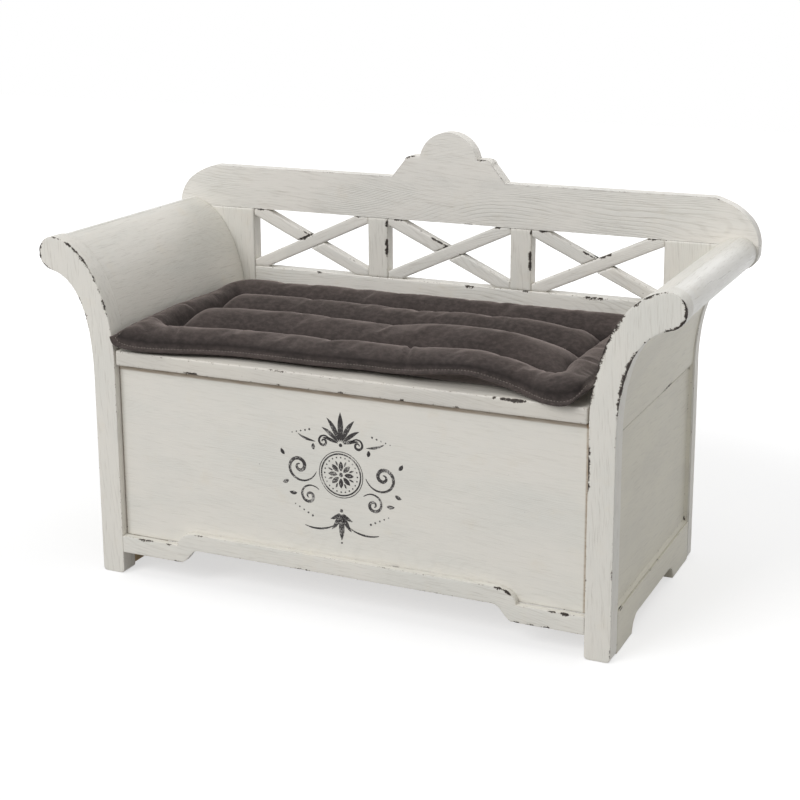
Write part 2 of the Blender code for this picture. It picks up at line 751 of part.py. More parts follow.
def pad_height(x, y, lines):
    """The pad's thickness: a border roll inside the hem, and two rolls between its seams."""
    front, first, second, third, back = lines
    half = PAD_HALF_LENGTH
    left, right = PAD_LEFT_ROLL - half, half - PAD_RIGHT_ROLL
    outside = min(
        y - front - PAD_HEM_WIDTH, back - PAD_BACK_HEM_WIDTH - y,
        x + half - PAD_END_HEM_WIDTH, half - PAD_END_HEM_WIDTH - x,
    )
    inside = math.hypot(max(left - x, x - right, 0), max(first - y, y - third, 0))
    if inside > 0:
        share = max(outside, 0) / (max(outside, 0) + inside)
        base = PAD_HEM + (PAD_SEAM_RISE - PAD_HEM) * share
        crown = PAD_CROWNS[0] + (PAD_CROWNS[3] - PAD_CROWNS[0]) * (y - front) / (back - front)
        return base + (crown - base) * bulge(share)
    near, far, crown = (first, second, PAD_CROWNS[1]) if y < second else (second, third, PAD_CROWNS[2])
    end = min(min(x - left, right - x) / PAD_ROLL_END, 1)
    rounded = bulge((y - near) / (far - near)) * math.sqrt(max(1 - (1 - end) ** 2, 0))
    return PAD_SEAM_RISE + (crown - PAD_SEAM_RISE) * rounded


def steps(stops, counts):
    """Places between the stops, with the given number of cells in each stretch."""
    places = [stops[0]]
    for start, end, count in zip(stops, stops[1:], counts):
        places += [start + (end - start) * (i + 1) / count for i in range(count)]
    return places


def seat_pad():
    """A crowned pad whose sides draw in between the corners, with its channels, on a flat underside."""
    half = PAD_HALF_LENGTH
    rolls = PAD_ROLL_CELLS
    hem = half - PAD_END_HEM_WIDTH
    lengthwise = (-half, -hem, PAD_LEFT_ROLL - half, half - PAD_RIGHT_ROLL, hem, half)
    along = steps(lengthwise, (1, rolls, PAD_LENGTH_CELLS, rolls, 1))
    across = (1, rolls - 1, rolls, rolls, rolls, 1)
    shape = bmesh.new()
    bmesh.ops.create_grid(shape, x_segments=len(along) - 1, y_segments=sum(across), size=1.0)
    for vertex in shape.verts:
        column = round((vertex.co.x + 1) / 2 * (len(along) - 1))
        row = round((vertex.co.y + 1) / 2 * sum(across))
        x = along[column]
        lines = pad_lines(x / half)
        front, back = lines[0], lines[-1]
        stops = [front, front + PAD_HEM_WIDTH, *lines[1:-1], back - PAD_BACK_HEM_WIDTH, back]
        y = steps(stops, across)[row]
        depth = (y - front) / (back - front)
        drawn = 1 - PAD_DRAW_IN / half * bulge(depth) ** 2
        vertex.co = (x * drawn, y - HINGE_Y, pad_height(x, y, lines) + FIT_GAP)
    rim = [edge for edge in shape.edges if edge.is_boundary]
    skirt = bmesh.ops.extrude_edge_only(shape, edges=rim)["geom"]
    for vertex in (part for part in skirt if isinstance(part, bmesh.types.BMVert)):
        vertex.co.z = FIT_GAP
    floor = [edge for edge in shape.edges if edge.is_boundary]
    bmesh.ops.contextual_create(shape, geom=floor)
    bmesh.ops.recalc_face_normals(shape, faces=shape.faces)
    mesh = bpy.data.meshes.new("seat_pad")
    shape.to_mesh(mesh)
    shape.free()
    mesh.shade_smooth()
    mesh.set_sharp_from_angle(angle=PAD_SHARP_ANGLE)
    return bpy.data.objects.new("seat_pad", mesh)


def build():
    clear_scene()
    bench = collection("storage_bench")
    cutters = collection("cutters")
    frame = empty("bench_frame", (0, -MIDDLE_Y, 0), None, bench)
    lid_axis = empty("lid_hinge_axis", (0, HINGE_Y, HINGE_Z), frame, bench)

    fixed = []
    for side_name, side in SIDES:
        fixed.append(front_post(side_name, side))
        fixed.append(rear_post(side_name, side))
        fixed += arm_parts(side_name, side)
        fixed += chest_end(side_name, side)
    fixed += chest_front() + chest_floor() + chest_back() + back_frame() + hinge_batten()
    fixed += cross_bars(cutters, frame)
    for item, location, colour in fixed:
        place(item, bench, frame, location or item.location.copy())
        finish(item, colour)

    for item, location, colour in lid_parts():
        place(item, bench, lid_axis, location or item.location.copy())
        finish(item, colour)
    for name, x in (("left", -HINGE_SPACING), ("middle", 0), ("right", HINGE_SPACING)):
        for item, location, colour, parent in butt_hinge(name, x, cutters, frame, lid_axis):
            place(item, bench, parent, location)
            finish(item, colour, METAL_ROUGHNESS, 1.0)
    pad = place(seat_pad(), bench, lid_axis, (0, 0, 0))
    finish(pad, VELVET, VELVET_ROUGHNESS)


build()
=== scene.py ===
import json
import math

import bmesh
import bpy
from mathutils import Matrix, Vector, noise


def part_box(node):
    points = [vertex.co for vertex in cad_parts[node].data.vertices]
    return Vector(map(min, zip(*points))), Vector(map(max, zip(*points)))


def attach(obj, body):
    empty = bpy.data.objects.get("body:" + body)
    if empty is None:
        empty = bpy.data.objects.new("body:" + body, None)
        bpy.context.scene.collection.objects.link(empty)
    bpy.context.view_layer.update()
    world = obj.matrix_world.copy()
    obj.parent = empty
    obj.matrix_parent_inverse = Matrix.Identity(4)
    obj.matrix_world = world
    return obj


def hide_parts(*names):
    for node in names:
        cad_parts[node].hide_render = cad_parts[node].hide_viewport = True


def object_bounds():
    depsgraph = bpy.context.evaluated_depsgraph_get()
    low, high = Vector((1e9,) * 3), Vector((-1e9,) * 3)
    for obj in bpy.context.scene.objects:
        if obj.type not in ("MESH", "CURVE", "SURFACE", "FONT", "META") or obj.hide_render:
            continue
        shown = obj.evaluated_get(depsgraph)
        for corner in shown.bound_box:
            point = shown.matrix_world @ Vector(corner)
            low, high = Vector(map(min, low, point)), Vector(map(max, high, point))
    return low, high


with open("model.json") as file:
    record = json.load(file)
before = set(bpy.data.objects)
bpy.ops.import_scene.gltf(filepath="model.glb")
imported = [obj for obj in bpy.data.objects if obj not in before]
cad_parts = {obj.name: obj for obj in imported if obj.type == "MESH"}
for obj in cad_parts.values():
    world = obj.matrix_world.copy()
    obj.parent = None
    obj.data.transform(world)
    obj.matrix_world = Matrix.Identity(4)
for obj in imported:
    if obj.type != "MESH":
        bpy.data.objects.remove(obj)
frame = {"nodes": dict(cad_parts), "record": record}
cadLow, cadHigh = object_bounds()
print("frame:", len(frame["nodes"]), "nodes")

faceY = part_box("front_post_left")[0].y  # the front faces of the posts
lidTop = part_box("seat_lid")[1].z


def mm(x, y, z):
    # a place on the bench in millimetres, y counted back from the posts' front faces
    return Vector((x / 1000, y / 1000 + faceY, z / 1000))


def tint(red, green, blue):
    # a colour as a screen shows it, turned into the shader's linear values
    parts = [v / 255 for v in (red, green, blue)]
    return tuple(v / 12.92 if v < 0.04 else ((v + 0.055) / 1.055) ** 2.4 for v in parts) + (1.0,)


def meshFrom(shape, name):
    mesh = bpy.data.meshes.new(name)
    shape.to_mesh(mesh)
    shape.free()
    return mesh


def addItem(name, data):
    item = bpy.data.objects.new(name, data)
    bpy.context.scene.collection.objects.link(item)
    return item


# Finishes

class Wire:
    # a node's output that is used in plain expressions
    def __init__(self, finish, socket):
        self.finish, self.socket = finish, socket

    def maths(self, operation, *values):
        return self.finish.node("Math", {"operation": operation}, dict(enumerate(values)))

    def sine(self):
        return self.maths("SINE", self)

    def __add__(self, other):
        return self.maths("ADD", self, other)

    def __mul__(self, other):
        return self.maths("MULTIPLY", self, other)

    __radd__, __rmul__ = __add__, __mul__

    def __sub__(self, other):
        return self.maths("SUBTRACT", self, other)

    def __rsub__(self, other):
        return self.maths("SUBTRACT", other, self)

    def __pow__(self, other):
        return self.maths("POWER", self, other)


class Finish:
    # one material, or the world, and the few ways in which its nodes are made
    def __init__(self, owner):
        self.material = bpy.data.materials.new(owner) if isinstance(owner, str) else owner
        self.material.use_nodes = True
        self.tree = self.material.node_tree
        self.tree.nodes.clear()

    def node(self, kind, settings=None, inputs=None, output=0):
        made = self.tree.nodes.new("ShaderNode" + kind)
        for key, value in (settings or {}).items():
            setattr(made, key, value)
        for key, value in (inputs or {}).items():
            if isinstance(value, Wire):
                self.tree.links.new(value.socket, made.inputs[key])
            else:
                made.inputs[key].default_value = value
        return Wire(self, made.outputs[output]) if made.outputs else None

    def place(self):
        # where the point lies on the bench at rest
        where = self.node("TexCoord", output="Object")
        return [self.node("SeparateXYZ", inputs={0: where}, output=i) for i in range(3)]

    def own(self):
        # a number that differs from piece to piece
        return self.node("ObjectInfo", output="Random")

    def seen(self):
        # 1 for what the camera sees, also in a mirror or through glass
        outputs = ("Is Camera Ray", "Is Glossy Ray", "Is Transmission Ray")
        straight, mirrored, through = (self.node("LightPath", output=name) for name in outputs)
        return straight.maths("MINIMUM", straight + mirrored + through, 1.0)

    def vector(self, x, y, z):
        return self.node("CombineXYZ", inputs={0: x, 1: y, 2: z})

    def mottle(self, x, y, z, detail, rough=0.5, twist=0.0):
        values = {"Scale": 1.0, "Detail": detail, "Roughness": rough, "Distortion": twist}
        return self.node("TexNoise", inputs={"Vector": self.vector(x, y, z), **values}, output="Fac")

    def streaks(self, axes, drift, fine, cross, detail, rough=0.5):
        # noise that is drawn out along the first axis
        along, across, deep = axes
        return self.mottle(along * fine + drift, across * cross, deep * cross, detail, rough)

    def between(self, value, low, high):
        # 0 up to low, 1 from high on and smooth between them
        values = {"Value": value, "From Min": low, "From Max": high}
        return self.node("MapRange", {"interpolation_type": "SMOOTHSTEP"}, values)

    def mix(self, share, first, second):
        return self.node("Mix", {"data_type": "RGBA"}, {0: share, 6: first, 7: second}, 2)

    def mark(self, name):
        return self.node("Attribute", {"attribute_name": name}, output="Fac")

    def bump(self, height, depth, strength=1.0):
        return self.node("Bump", inputs={"Height": height, "Distance": depth, "Strength": strength})

    def surface(self, values):
        shader = self.node("BsdfPrincipled", inputs=values)
        self.node("OutputMaterial", inputs={"Surface": shader})
        return self.material


paintLook = {
    "coat": tint(233, 229, 220),
    "cool": tint(227, 225, 217),
    "warm": tint(230, 222, 206),
    "groove": tint(182, 175, 163),
    "undercoat": tint(150, 134, 112),
    # brown of the painted shade along the seams
    "seamShade": tint(142, 118, 90),
    "wood": tint(104, 92, 82),
    "woodDark": tint(40, 35, 33),
    "roughness": 0.42,
    "ringPitch": 0.0046,  # metres between the growth lines where they run straight
    "flame": 0.30,  # how far they bend into arches
    "rings": 0.26,
    "slant": 0.10,  # of the brush strokes to the fibres
    "pores": 0.30,
    "chipAt": 2.02,
    "chipEdge": 0.05,
    "specks": 30.0,  # to a metre
    "coatThickness": 0.0009,
    # noises: how fine along the fibres and across them, to a metre, then detail and roughness
    "slow": (1.2, 5, 1),
    "sway": (9, 40, 2),
    "patch": (4, 9, 4, 0.6),
    "fibre": (22, 330, 4, 0.6),
    "stain": (17, 17, 4, 0.6),
    "blotch": (120, 120, 2),
    "crumb": 360,
    "strokes": (15, 230),
    "brush": (7, 120),
}


def paintFinish(name, grain, lean=0.0, figure=0.25, look=paintLook, seamShades=()):
    # chalky paint brushed over coarse wood. Grain names the axis that the board's fibres follow,
    # lean turns them in the back's plane, and figure tells how much of the growth rings shows. Each
    # seam shade is a painted shade, brown, along a seam: its axis, where the brown starts and where
    # it is full.
    kit = Finish(name)
    x, y, z = kit.place()
    drift = kit.own() * 9.0
    # bare holds the brown painted shade along the seams
    bare = 0.0
    for axis, start, full in seamShades:
        bare = kit.between({"x": x, "y": y, "z": z}[axis], start, full) + bare
    if lean:
        x, z = x * math.cos(lean) + z * math.sin(lean), z * math.cos(lean) - x * math.sin(lean)
    if grain == "y":
        board = (y, z + x, x - z)
    else:
        board = (x, z, y) if grain == "x" else (z, x, y)
    along, across, deep = board
    keys = ("slow", "sway", "patch", "fibre")
    slow, sway, patch, fibre = (kit.streaks(board, drift, *look[key]) for key in keys)
    stain, blotch = (kit.streaks((x, y, z), drift, *look[key]) for key in ("stain", "blotch"))

    phase = (across + slow * look["flame"]) * (2 * math.pi / look["ringPitch"]) + sway * 9.0
    rings = kit.between(phase.sine(), 0.2, 1.0) * kit.between(patch, 0.38, 0.62)
    fine, cross = look["strokes"]
    slanted = (across + along * look["slant"]) * cross + drift
    strokes = kit.mottle(along * fine, slanted, deep * cross, 3, 0.6)
    fine, cross = look["brush"]
    brush = kit.mottle(along * fine, across * cross + drift, deep * cross, 3, 0.55)
    pores = kit.between(fibre, 0.56, 0.72) + kit.between(strokes, 0.53, 0.70) * 0.8

    fine = look["crumb"]
    crumb = kit.mottle(x * fine, y * fine + drift, z * fine, 4, 0.75)
    level = kit.mark("rim") * 1.6 + kit.mark("wear") + (blotch - 0.5) * 1.4 + (crumb - 0.5) * 2.6
    chip = kit.between(level, look["chipAt"], look["chipAt"] + look["chipEdge"])
    halo = kit.between(level, look["chipAt"] - 0.18, look["chipAt"])
    where = kit.vector(x + drift, y, z)
    dots = kit.node("TexVoronoi", inputs={"Vector": where, "Scale": look["specks"]})
    speck = (1 - kit.between(dots, 0.02, 0.05)) * kit.between(stain, 0.5, 0.6)

    coat = kit.mix(kit.between(patch, 0.35, 0.7), look["coat"], look["cool"])
    coat = kit.mix(kit.between(stain, 0.55, 0.85) * 0.5, coat, look["warm"])
    coat = kit.mix(rings * look["rings"] * figure + pores * look["pores"], coat, look["groove"])
    # painted shade: the coat turns brown along the seams
    if seamShades:
        coat = kit.mix(bare * (strokes * 0.8 + 0.3), coat, look["seamShade"])
    coat = kit.mix(halo * 0.5, coat, look["undercoat"])
    wood = kit.mix(kit.between(crumb, 0.45, 0.75), look["woodDark"], look["wood"])
    colour = kit.mix(chip, kit.mix(speck * 0.5, coat, look["wood"]), wood)

    hollow = rings * 0.3 * figure + pores * 0.2 + chip * 1.1
    height = brush * 0.35 + fibre * 0.3 + strokes * 0.4 + patch * 0.5 - hollow
    rough = chip * 0.35 + (brush - 0.5) * 0.16 + look["roughness"]
    return kit.surface({
        "Base Color": colour,
        "Roughness": rough,
        "Specular IOR Level": 0.42,
        "Normal": kit.bump(height, look["coatThickness"], 0.8),
    })


bareLook = {
    "pale": tint(196, 174, 140),
    "dark": tint(168, 139, 103),
    "ringPitch": 0.009,
    "flame": 0.09,
    "slow": (1.8, 8, 2),
    "fibre": (25, 400, 4, 0.6),
    "roughness": 0.72,
}


def bareFinish(name, grain, look=bareLook):
    # the unpainted softwood inside the chest
    kit = Finish(name)
    x, y, z = kit.place()
    drift = kit.own() * 7.0
    board = (x, y, z) if grain == "x" else (y, x, z)
    slow, fibre = (kit.streaks(board, drift, *look[key]) for key in ("slow", "fibre"))
    phase = (board[1] + slow * look["flame"]) * (2 * math.pi / look["ringPitch"])
    rings = kit.between(phase.sine(), -0.2, 1.0)
    colour = kit.mix(rings * 0.6 + fibre * 0.4, look["pale"], look["dark"])
    return kit.surface({
        "Base Color": colour,
        "Roughness": look["roughness"],
        "Normal": kit.bump(fibre * 0.6 - rings * 0.4, 0.0004, 0.5),
    })


metalLook = {  # bright and dull shade, and roughness
    "brass": (tint(196, 164, 96), tint(120, 96, 58), 0.30),
    "steel": (tint(176, 176, 172), tint(110, 108, 104), 0.28),
}


def metalFinish(name, bright, dull, roughness):
    # hinge metal with rubbed and tarnished patches
    kit = Finish(name)
    x, y, z = kit.place()
    stain = kit.mottle(x * 140, y * 140, z * 140, 5, 0.6)
    lines = kit.mottle(x * 60, y * 1500, z * 1500, 2)
    return kit.surface({
        "Base Color": kit.mix(kit.between(stain, 0.4, 0.75), bright, dull),
        "Metallic": 1.0,
        "Roughness": stain * 0.25 + roughness,
        "Normal": kit.bump(lines, 0.00008, 0.5),
    })


# Boards

boardShape = {
    "step": 0.0045,  # spacing of the corners along a rim
    "same": 0.00001,  # corners nearer than this are one
    "short": 0.00005,  # edges shorter than this are dropped
    "strip": 0.0030,  # a face narrower than this belongs to a rounded rim
    "ring": 0.0040,  # width of the first band inside a rim
    "secondRing": 0.0065,
    "corner": 35,  # degrees from which an edge without a rounded rim counts as one
    "nick": 0.0016,  # how deep the worst chips cut into a rim
    "nickScale": 210,
    "nickLift": 0.35,  # more of it makes the chips run together
    "nickMost": 1.4,
    "wander": 0.00045,  # how far a rim strays from straight
    "wanderScale": 38,
    "footRadius": 0.0075,
    "bandShare": 0.22,  # of a narrow board's width, the most that one band takes
    "roomShare": 0.3,  # of a face's depth, the most that an edge moves into it
    "mitre": 0.7,  # keeps the corners of sharp angles near
    "meeting": 0.0002,  # corners nearer than this become one
    "plane": 0.00003,  # how far a flush face's corners lie off its neighbour's plane
    "flat": 1.2,  # degrees between faces that count as one
    "sharp": 50,  # degrees from which an edge is shaded sharp
}


def lead(stands, item):
    # what stands for the item at the end of its chain
    while item in stands:
        item = stands[item]
    return item


def cutEdge(edge, parts):
    near, far = edge.verts
    for left in range(parts, 1, -1):
        near = bmesh.utils.edge_split(edge, near, 1 / left)[1]
        edge = next(e for e in near.link_edges if e.other_vert(near) is far)


def bandCorners(face, rimmed, rim):
    # a band face's four corners, so turned that its first edge runs along the rim
    loops = list(face.loops)
    if len(loops) != 4:
        longest = sorted(loops, key=lambda loop: loop.edge.calc_length())[-2:]
        corners = [vert for loop in longest for vert in (loop.vert, loop.link_loop_next.vert)]
        return corners if face[rimmed] and len(set(corners)) == 4 else None
    if face[rimmed]:
        along = loops[0].edge.calc_length() > loops[1].edge.calc_length()
    else:
        values = [loop.vert[rim] for loop in loops]
        if max(values) == 0 or len(set(values)) != 2:
            return None
        along = values[0] == values[1]
    return [loop.vert for loop in (loops if along else loops[1:] + loops[:1])]


def cutBands(shape, rimmed, rim, step):
    # the rounded rims and the bands beside them are cut across every step
    leader = {}
    bands = []
    pairs = []
    for face in shape.faces:
        corners = bandCorners(face, rimmed, rim)
        if corners:
            edges = {frozenset(edge.verts): edge for edge in face.edges}
            bands.append((face, corners))
            pairs.append((edges[frozenset(corners[:2])], edges[frozenset(corners[2:])]))
            first, second = (lead(leader, edge) for edge in pairs[-1])
            if first is not second:
                leader[second] = first
    groups = {}
    for edge in (edge for pair in pairs for edge in pair):
        groups.setdefault(lead(leader, edge), {})[edge] = edge.calc_length()
    for lengths in groups.values():
        parts = round(max(lengths.values()) / step)
        for edge in lengths:
            cutEdge(edge, parts)
    for face, corners in bands:
        ring = [loop.vert for loop in face.loops]
        start = ring.index(corners[0])
        ring = ring[start:] + ring[:start]
        turn, back, end = (ring.index(corner) for corner in corners[1:])
        for low, high in zip(ring[1:turn], reversed(ring[back + 1:end])):
            piece = next(f for f in low.link_faces if high in f.verts)
            bmesh.utils.face_split(piece, low, high)


def broadGroups(shape, rimmed, corner):
    # the broad faces between the rims, those of one curved side together
    broad = [face for face in shape.faces if not face[rimmed]]
    waiting = set(broad)
    groups = []
    for first in broad:
        if first not in waiting:
            continue
        waiting.remove(first)
        group = [first]
        for face in group:
            for edge in face.edges:
                if edge.calc_face_angle(math.pi) > corner:
                    continue
                for other in edge.link_faces:
                    if other in waiting:
                        waiting.remove(other)
                        group.append(other)
        groups.append(group)
    return groups


def insetGroup(shape, group, size, look=boardShape):
    # a band inside the group's outline. No edge moves farther than its face has room for, and corners
    # that would pass one another meet in one point.
    band = set(bmesh.ops.inset_region(shape, faces=group, thickness=0, use_boundary=True)["faces"])
    outline = []
    pulls = {}
    for face in group:
        for loop in face.loops:
            if not any(other in band for other in loop.edge.link_faces):
                continue
            near, far = loop.vert, loop.link_loop_next.vert
            way = (far.co - near.co).normalized()
            inward = face.normal.cross(way)
            room = max((vert.co - near.co).dot(inward) for vert in face.verts)
            outline.append((near, far, way))
            for vert in (near, far):
                pulls.setdefault(vert, []).append((inward, min(size, room * look["roomShare"])))
    for vert, parts in pulls.items():
        total = sum((inward for inward, reach in parts), Vector())
        square = max(total.length_squared / len(parts), look["mitre"])
        vert.co += sum((inward * reach for inward, reach in parts), Vector()) / square

    met = {}
    crossed = True
    while crossed:
        crossed = False
        for near, far, way in outline:
            near, far = lead(met, near), lead(met, far)
            if near is not far and (far.co - near.co).dot(way) < look["meeting"]:
                near.co = near.co.lerp(far.co, 0.5)
                met[far] = near
                crossed = True
    bmesh.ops.weld_verts(shape, targetmap={vert: lead(met, vert) for vert in met})
    return [vert for vert in pulls if vert not in met]


def flush(edge, look=boardShape):
    # whether the smaller face beside the edge lies in the larger one's plane
    small, large = sorted(edge.link_faces, key=lambda face: face.calc_area())
    start = edge.verts[0].co
    return all(abs((vert.co - start).dot(large.normal)) < look["plane"] for vert in small.verts)


def roundCorner(gapX, gapY, radius):
    # pulls a place beside a square corner inside a round one
    a, b = 1 - gapX / radius, 1 - gapY / radius
    if a <= 0 or b <= 0:
        return gapX, gapY
    return radius * (1 - a * math.sqrt(1 - b * b / 2)), radius * (1 - b * math.sqrt(1 - a * a / 2))


def roundFoot(shape, radius):
    # the lower corners of a post's foot, rubbed round
    foot = [vert for vert in shape.verts if vert.co.z < radius]
    inner = min(abs(vert.co.x) for vert in foot)
    outer = max(abs(vert.co.x) for vert in foot)
    for vert in foot:
        x, side = abs(vert.co.x), math.copysign(1, vert.co.x)
        nearInner = x - inner < outer - x
        gap, up = roundCorner(x - inner if nearInner else outer - x, vert.co.z, radius)
        vert.co.x = side * (inner + gap if nearInner else outer - gap)
        vert.co.z = up


def wornMesh(node, spots, look=boardShape):
    # the node's own shape with bands along its rims, which wander a little and are chipped at spots
    shape = bmesh.new()
    shape.from_mesh(frame["nodes"][node].data)
    bmesh.ops.remove_doubles(shape, verts=shape.verts, dist=look["same"])
    bmesh.ops.dissolve_degenerate(shape, edges=shape.edges, dist=look["short"])
    flat = math.radians(look["flat"])
    bmesh.ops.dissolve_limit(shape, angle_limit=flat, verts=shape.verts, edges=shape.edges)
    loose = [edge for edge in shape.edges if flush(edge)]
    bmesh.ops.dissolve_edges(shape, edges=loose, use_verts=False)
    rimmed = shape.faces.layers.int.new("rimmed")
    rim = shape.verts.layers.float.new("rim")
    wear = shape.verts.layers.float.new("wear")
    corner = math.radians(look["corner"])
    for face in shape.faces:
        face[rimmed] = 2 * face.calc_area() / face.calc_perimeter() < look["strip"]
        face.smooth = True
        if face[rimmed]:
            for vert in face.verts:
                vert[rim] = 1.0
    for edge in shape.edges:
        if edge.calc_face_angle(0) > corner:
            for vert in edge.verts:
                vert[rim] = 1.0
    reach = look["ring"] + look["secondRing"]
    for group in broadGroups(shape, rimmed, corner):
        inGroup = set(group)
        outline = sum(
            edge.calc_length() for face in group for edge in face.edges
            if any(other not in inGroup for other in edge.link_faces)
        )
        width = 2 * sum(face.calc_area() for face in group) / max(outline, 0.001)
        passed = 0
        for size in (look["ring"], look["secondRing"]):
            size = min(size, width * look["bandShare"])
            passed += size
            for vert in insetGroup(shape, group, size):
                vert[rim] = max(1 - passed / reach, 0.001)
        if len(group) == 1:
            group[0].smooth = False
    cutBands(shape, rimmed, rim, look["step"])
    shape.normal_update()
    low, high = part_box(node)
    moves = []
    for vert in shape.verts:
        vert.co = [min(max(vert.co[i], low[i]), high[i]) for i in range(3)]
        vert[wear] = wearAt(vert.co, spots)
        if vert[rim] > 0.4:
            wander = noise.noise(vert.co * look["wanderScale"]) * 0.5 + 0.5
            rough = noise.fractal(vert.co * look["nickScale"], 1.0, 2.0, 3)
            bite = max(rough + look["nickLift"], 0) * vert[wear]
            depth = look["wander"] * wander + look["nick"] * min(bite, look["nickMost"])
            normals = [face.normal for face in vert.link_faces if face[rimmed]]
            outward = sum(normals, Vector()).normalized() if normals else vert.normal
            moves.append((vert, outward * depth * vert[rim] ** 3))
    for vert, move in moves:
        vert.co -= move
    if "post" in node:
        roundFoot(shape, look["footRadius"])
    mesh = meshFrom(shape, node + "_board")
    mesh.set_sharp_from_angle(angle=math.radians(look["sharp"]))
    return mesh


wearLook = {"scatter": 0.50, "scale": 11.0, "start": (3.1, 1.7, 4.2), "gain": 2.2, "most": 0.6}


def wearAt(point, spots, look=wearLook):
    # how worn a place is: the photographed spots, and a little wear scattered along every rim
    worn = 0.0
    for place, radius, amount in spots:
        share = (point - place).length / radius
        if share < 1:
            worn = max(worn, amount * (1 - share ** 3))
    scattered = noise.fractal(point * look["scale"] + Vector(look["start"]), 1.0, 2.0, 3)
    return max(worn, min(max(scattered - look["scatter"], 0) * look["gain"], look["most"]))


# where the photograph shows the paint knocked off, in mm: the axis and measure that a node's spots
# share, then each one's measure on the other axis, its height, its radius and how much in tenths
wornSpots = {
    "front_post_left": ("y", 0, (
        (-638, 650, 13, 9), (-640, 633, 12, 10), (-636, 614, 10, 7), (-624, 606, 11, 9),
        (-602, 670, 9, 5), (-590, 671, 8, 6), (-570, 660, 11, 8), (-557, 648, 10, 9),
        (-546, 633, 13, 9), (-536, 618, 12, 8), (-520, 597, 14, 9), (-508, 569, 9, 7),
        (-499, 545, 13, 9), (-494, 528, 9, 6), (-574, 593, 8, 5), (-548, 552, 9, 5),
        (-537, 522, 12, 6), (-531, 500, 8, 5),
    )),
    "front_post_right": ("y", 0, (
        (557, 647, 12, 7), (572, 663, 13, 9), (588, 669, 10, 8), (604, 671, 8, 4),
        (634, 655, 11, 7), (640, 638, 14, 9), (635, 618, 14, 11), (620, 606, 15, 11),
        (607, 604, 8, 7), (535, 612, 14, 9), (524, 597, 15, 10), (514, 580, 15, 10),
        (505, 562, 14, 9), (498, 544, 15, 10), (491, 526, 15, 10), (486, 508, 14, 9),
        (482, 492, 9, 7), (573, 577, 10, 6), (556, 556, 15, 9), (545, 537, 18, 11),
        (536, 515, 18, 12), (531, 494, 16, 11), (528, 472, 12, 8), (527, 452, 10, 5),
        (477, 382, 12, 9), (477, 362, 12, 9), (477, 340, 13, 9), (477, 318, 10, 8),
        (525, 20, 12, 5), (525, 165, 8, 5),
    )),
    "seat_lid": ("y", 0, (
        (-312, 429, 12, 9), (-298, 429, 8, 7), (11, 430, 6, 6), (130, 430, 7, 6), (306, 457, 5, 6),
        (321, 457, 7, 8), (332, 457, 8, 9), (343, 457, 9, 10), (354, 457, 8, 9), (363, 457, 5, 6),
        (-120, 430, 5, 5), (235, 429, 6, 5),
    )),
    "front_apron": ("y", 0, (
        (-430, 79, 11, 9), (-416, 79, 9, 8), (-371, 79, 8, 7), (-300, 106, 6, 6), (417, 79, 9, 8),
        (440, 79, 12, 10), (316, 106, 9, 8), (333, 100, 12, 9), (352, 45, 10, 8), (378, 45, 8, 6),
        (408, 45, 11, 8), (-352, 45, 9, 6),
    )),
    "side_panel_right": ("x", 522, (
        (44, 404, 13, 9), (58, 402, 11, 9), (43, 385, 9, 8), (508, 402, 9, 9), (512, 90, 9, 6),
        (45, 107, 10, 8), (45, 220, 8, 4),
    )),
    "side_rail_right": ("x", 525, ((60, 80, 12, 8), (300, 80, 8, 5), (140, 4, 9, 5))),
    "side_panel_left": ("x", -522, ((300, 402, 12, 7), (60, 100, 9, 6))),
    "back_stile_left": ("y", 519, ((-139, 598, 11, 10), (-139, 583, 12, 10), (-139, 640, 9, 7))),
    "back_stile_right": ("y", 519, ((181, 596, 13, 10), (181, 578, 13, 10), (183, 645, 9, 7))),
    "middle_falling_bar": ("y", 521, (
        (-33, 612, 9, 9), (-20, 607, 10, 10), (-6, 602, 8, 8), (-112, 650, 12, 8),
    )),
    "middle_rising_bar": ("y", 521, ((110, 649, 8, 6),)),
    "right_falling_bar": ("y", 521, (
        (298, 612, 10, 10), (309, 606, 7, 8), (207, 650, 12, 8), (375, 560, 8, 8),
    )),
    "right_rising_bar": ("y", 521, ((333, 605, 8, 8), (345, 611, 8, 9), (432, 650, 8, 7))),
    "left_falling_bar": ("y", 521, ((-330, 606, 8, 7), (-440, 649, 10, 7))),
    "left_rising_bar": ("y", 521, ((-205, 649, 7, 6),)),
    "back_low_rail": ("y", 519, (
        (44, 522, 7, 10), (53, 521, 7, 10), (304, 520, 9, 10), (318, 519, 8, 9), (332, 520, 7, 10),
        (-300, 523, 8, 7), (170, 524, 7, 6),
    )),
    "back_top_rail": ("y", 519, (
        (-90, 785, 9, 8), (-77, 786, 7, 8), (68, 785, 8, 7), (78, 786, 7, 7), (-150, 741, 6, 4),
        (560, 738, 8, 4),
    )),
    "arm_roll_right": ("y", 45, ((590, 669, 8, 5),)),
}


def spotsOf(node):
    if node not in wornSpots:
        return []
    axis, common, spots = wornSpots[node]
    found = []
    for other, z, radius, tenths in spots:
        x, y = (common, other) if axis == "x" else (other, common)
        found.append((mm(x, y, z), radius / 1000, tenths / 10))
    return found


record = frame["record"]
slotOf = {part["node"]: part["material_slot"] for part in record["subparts"]}
bodyOf = {node: body for body, nodes in record["behaviour"]["bodies"].items() for node in nodes}

barLow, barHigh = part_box("middle_rising_bar")
barLean = math.atan2(barHigh.z - barLow.z, barHigh.x - barLow.x)
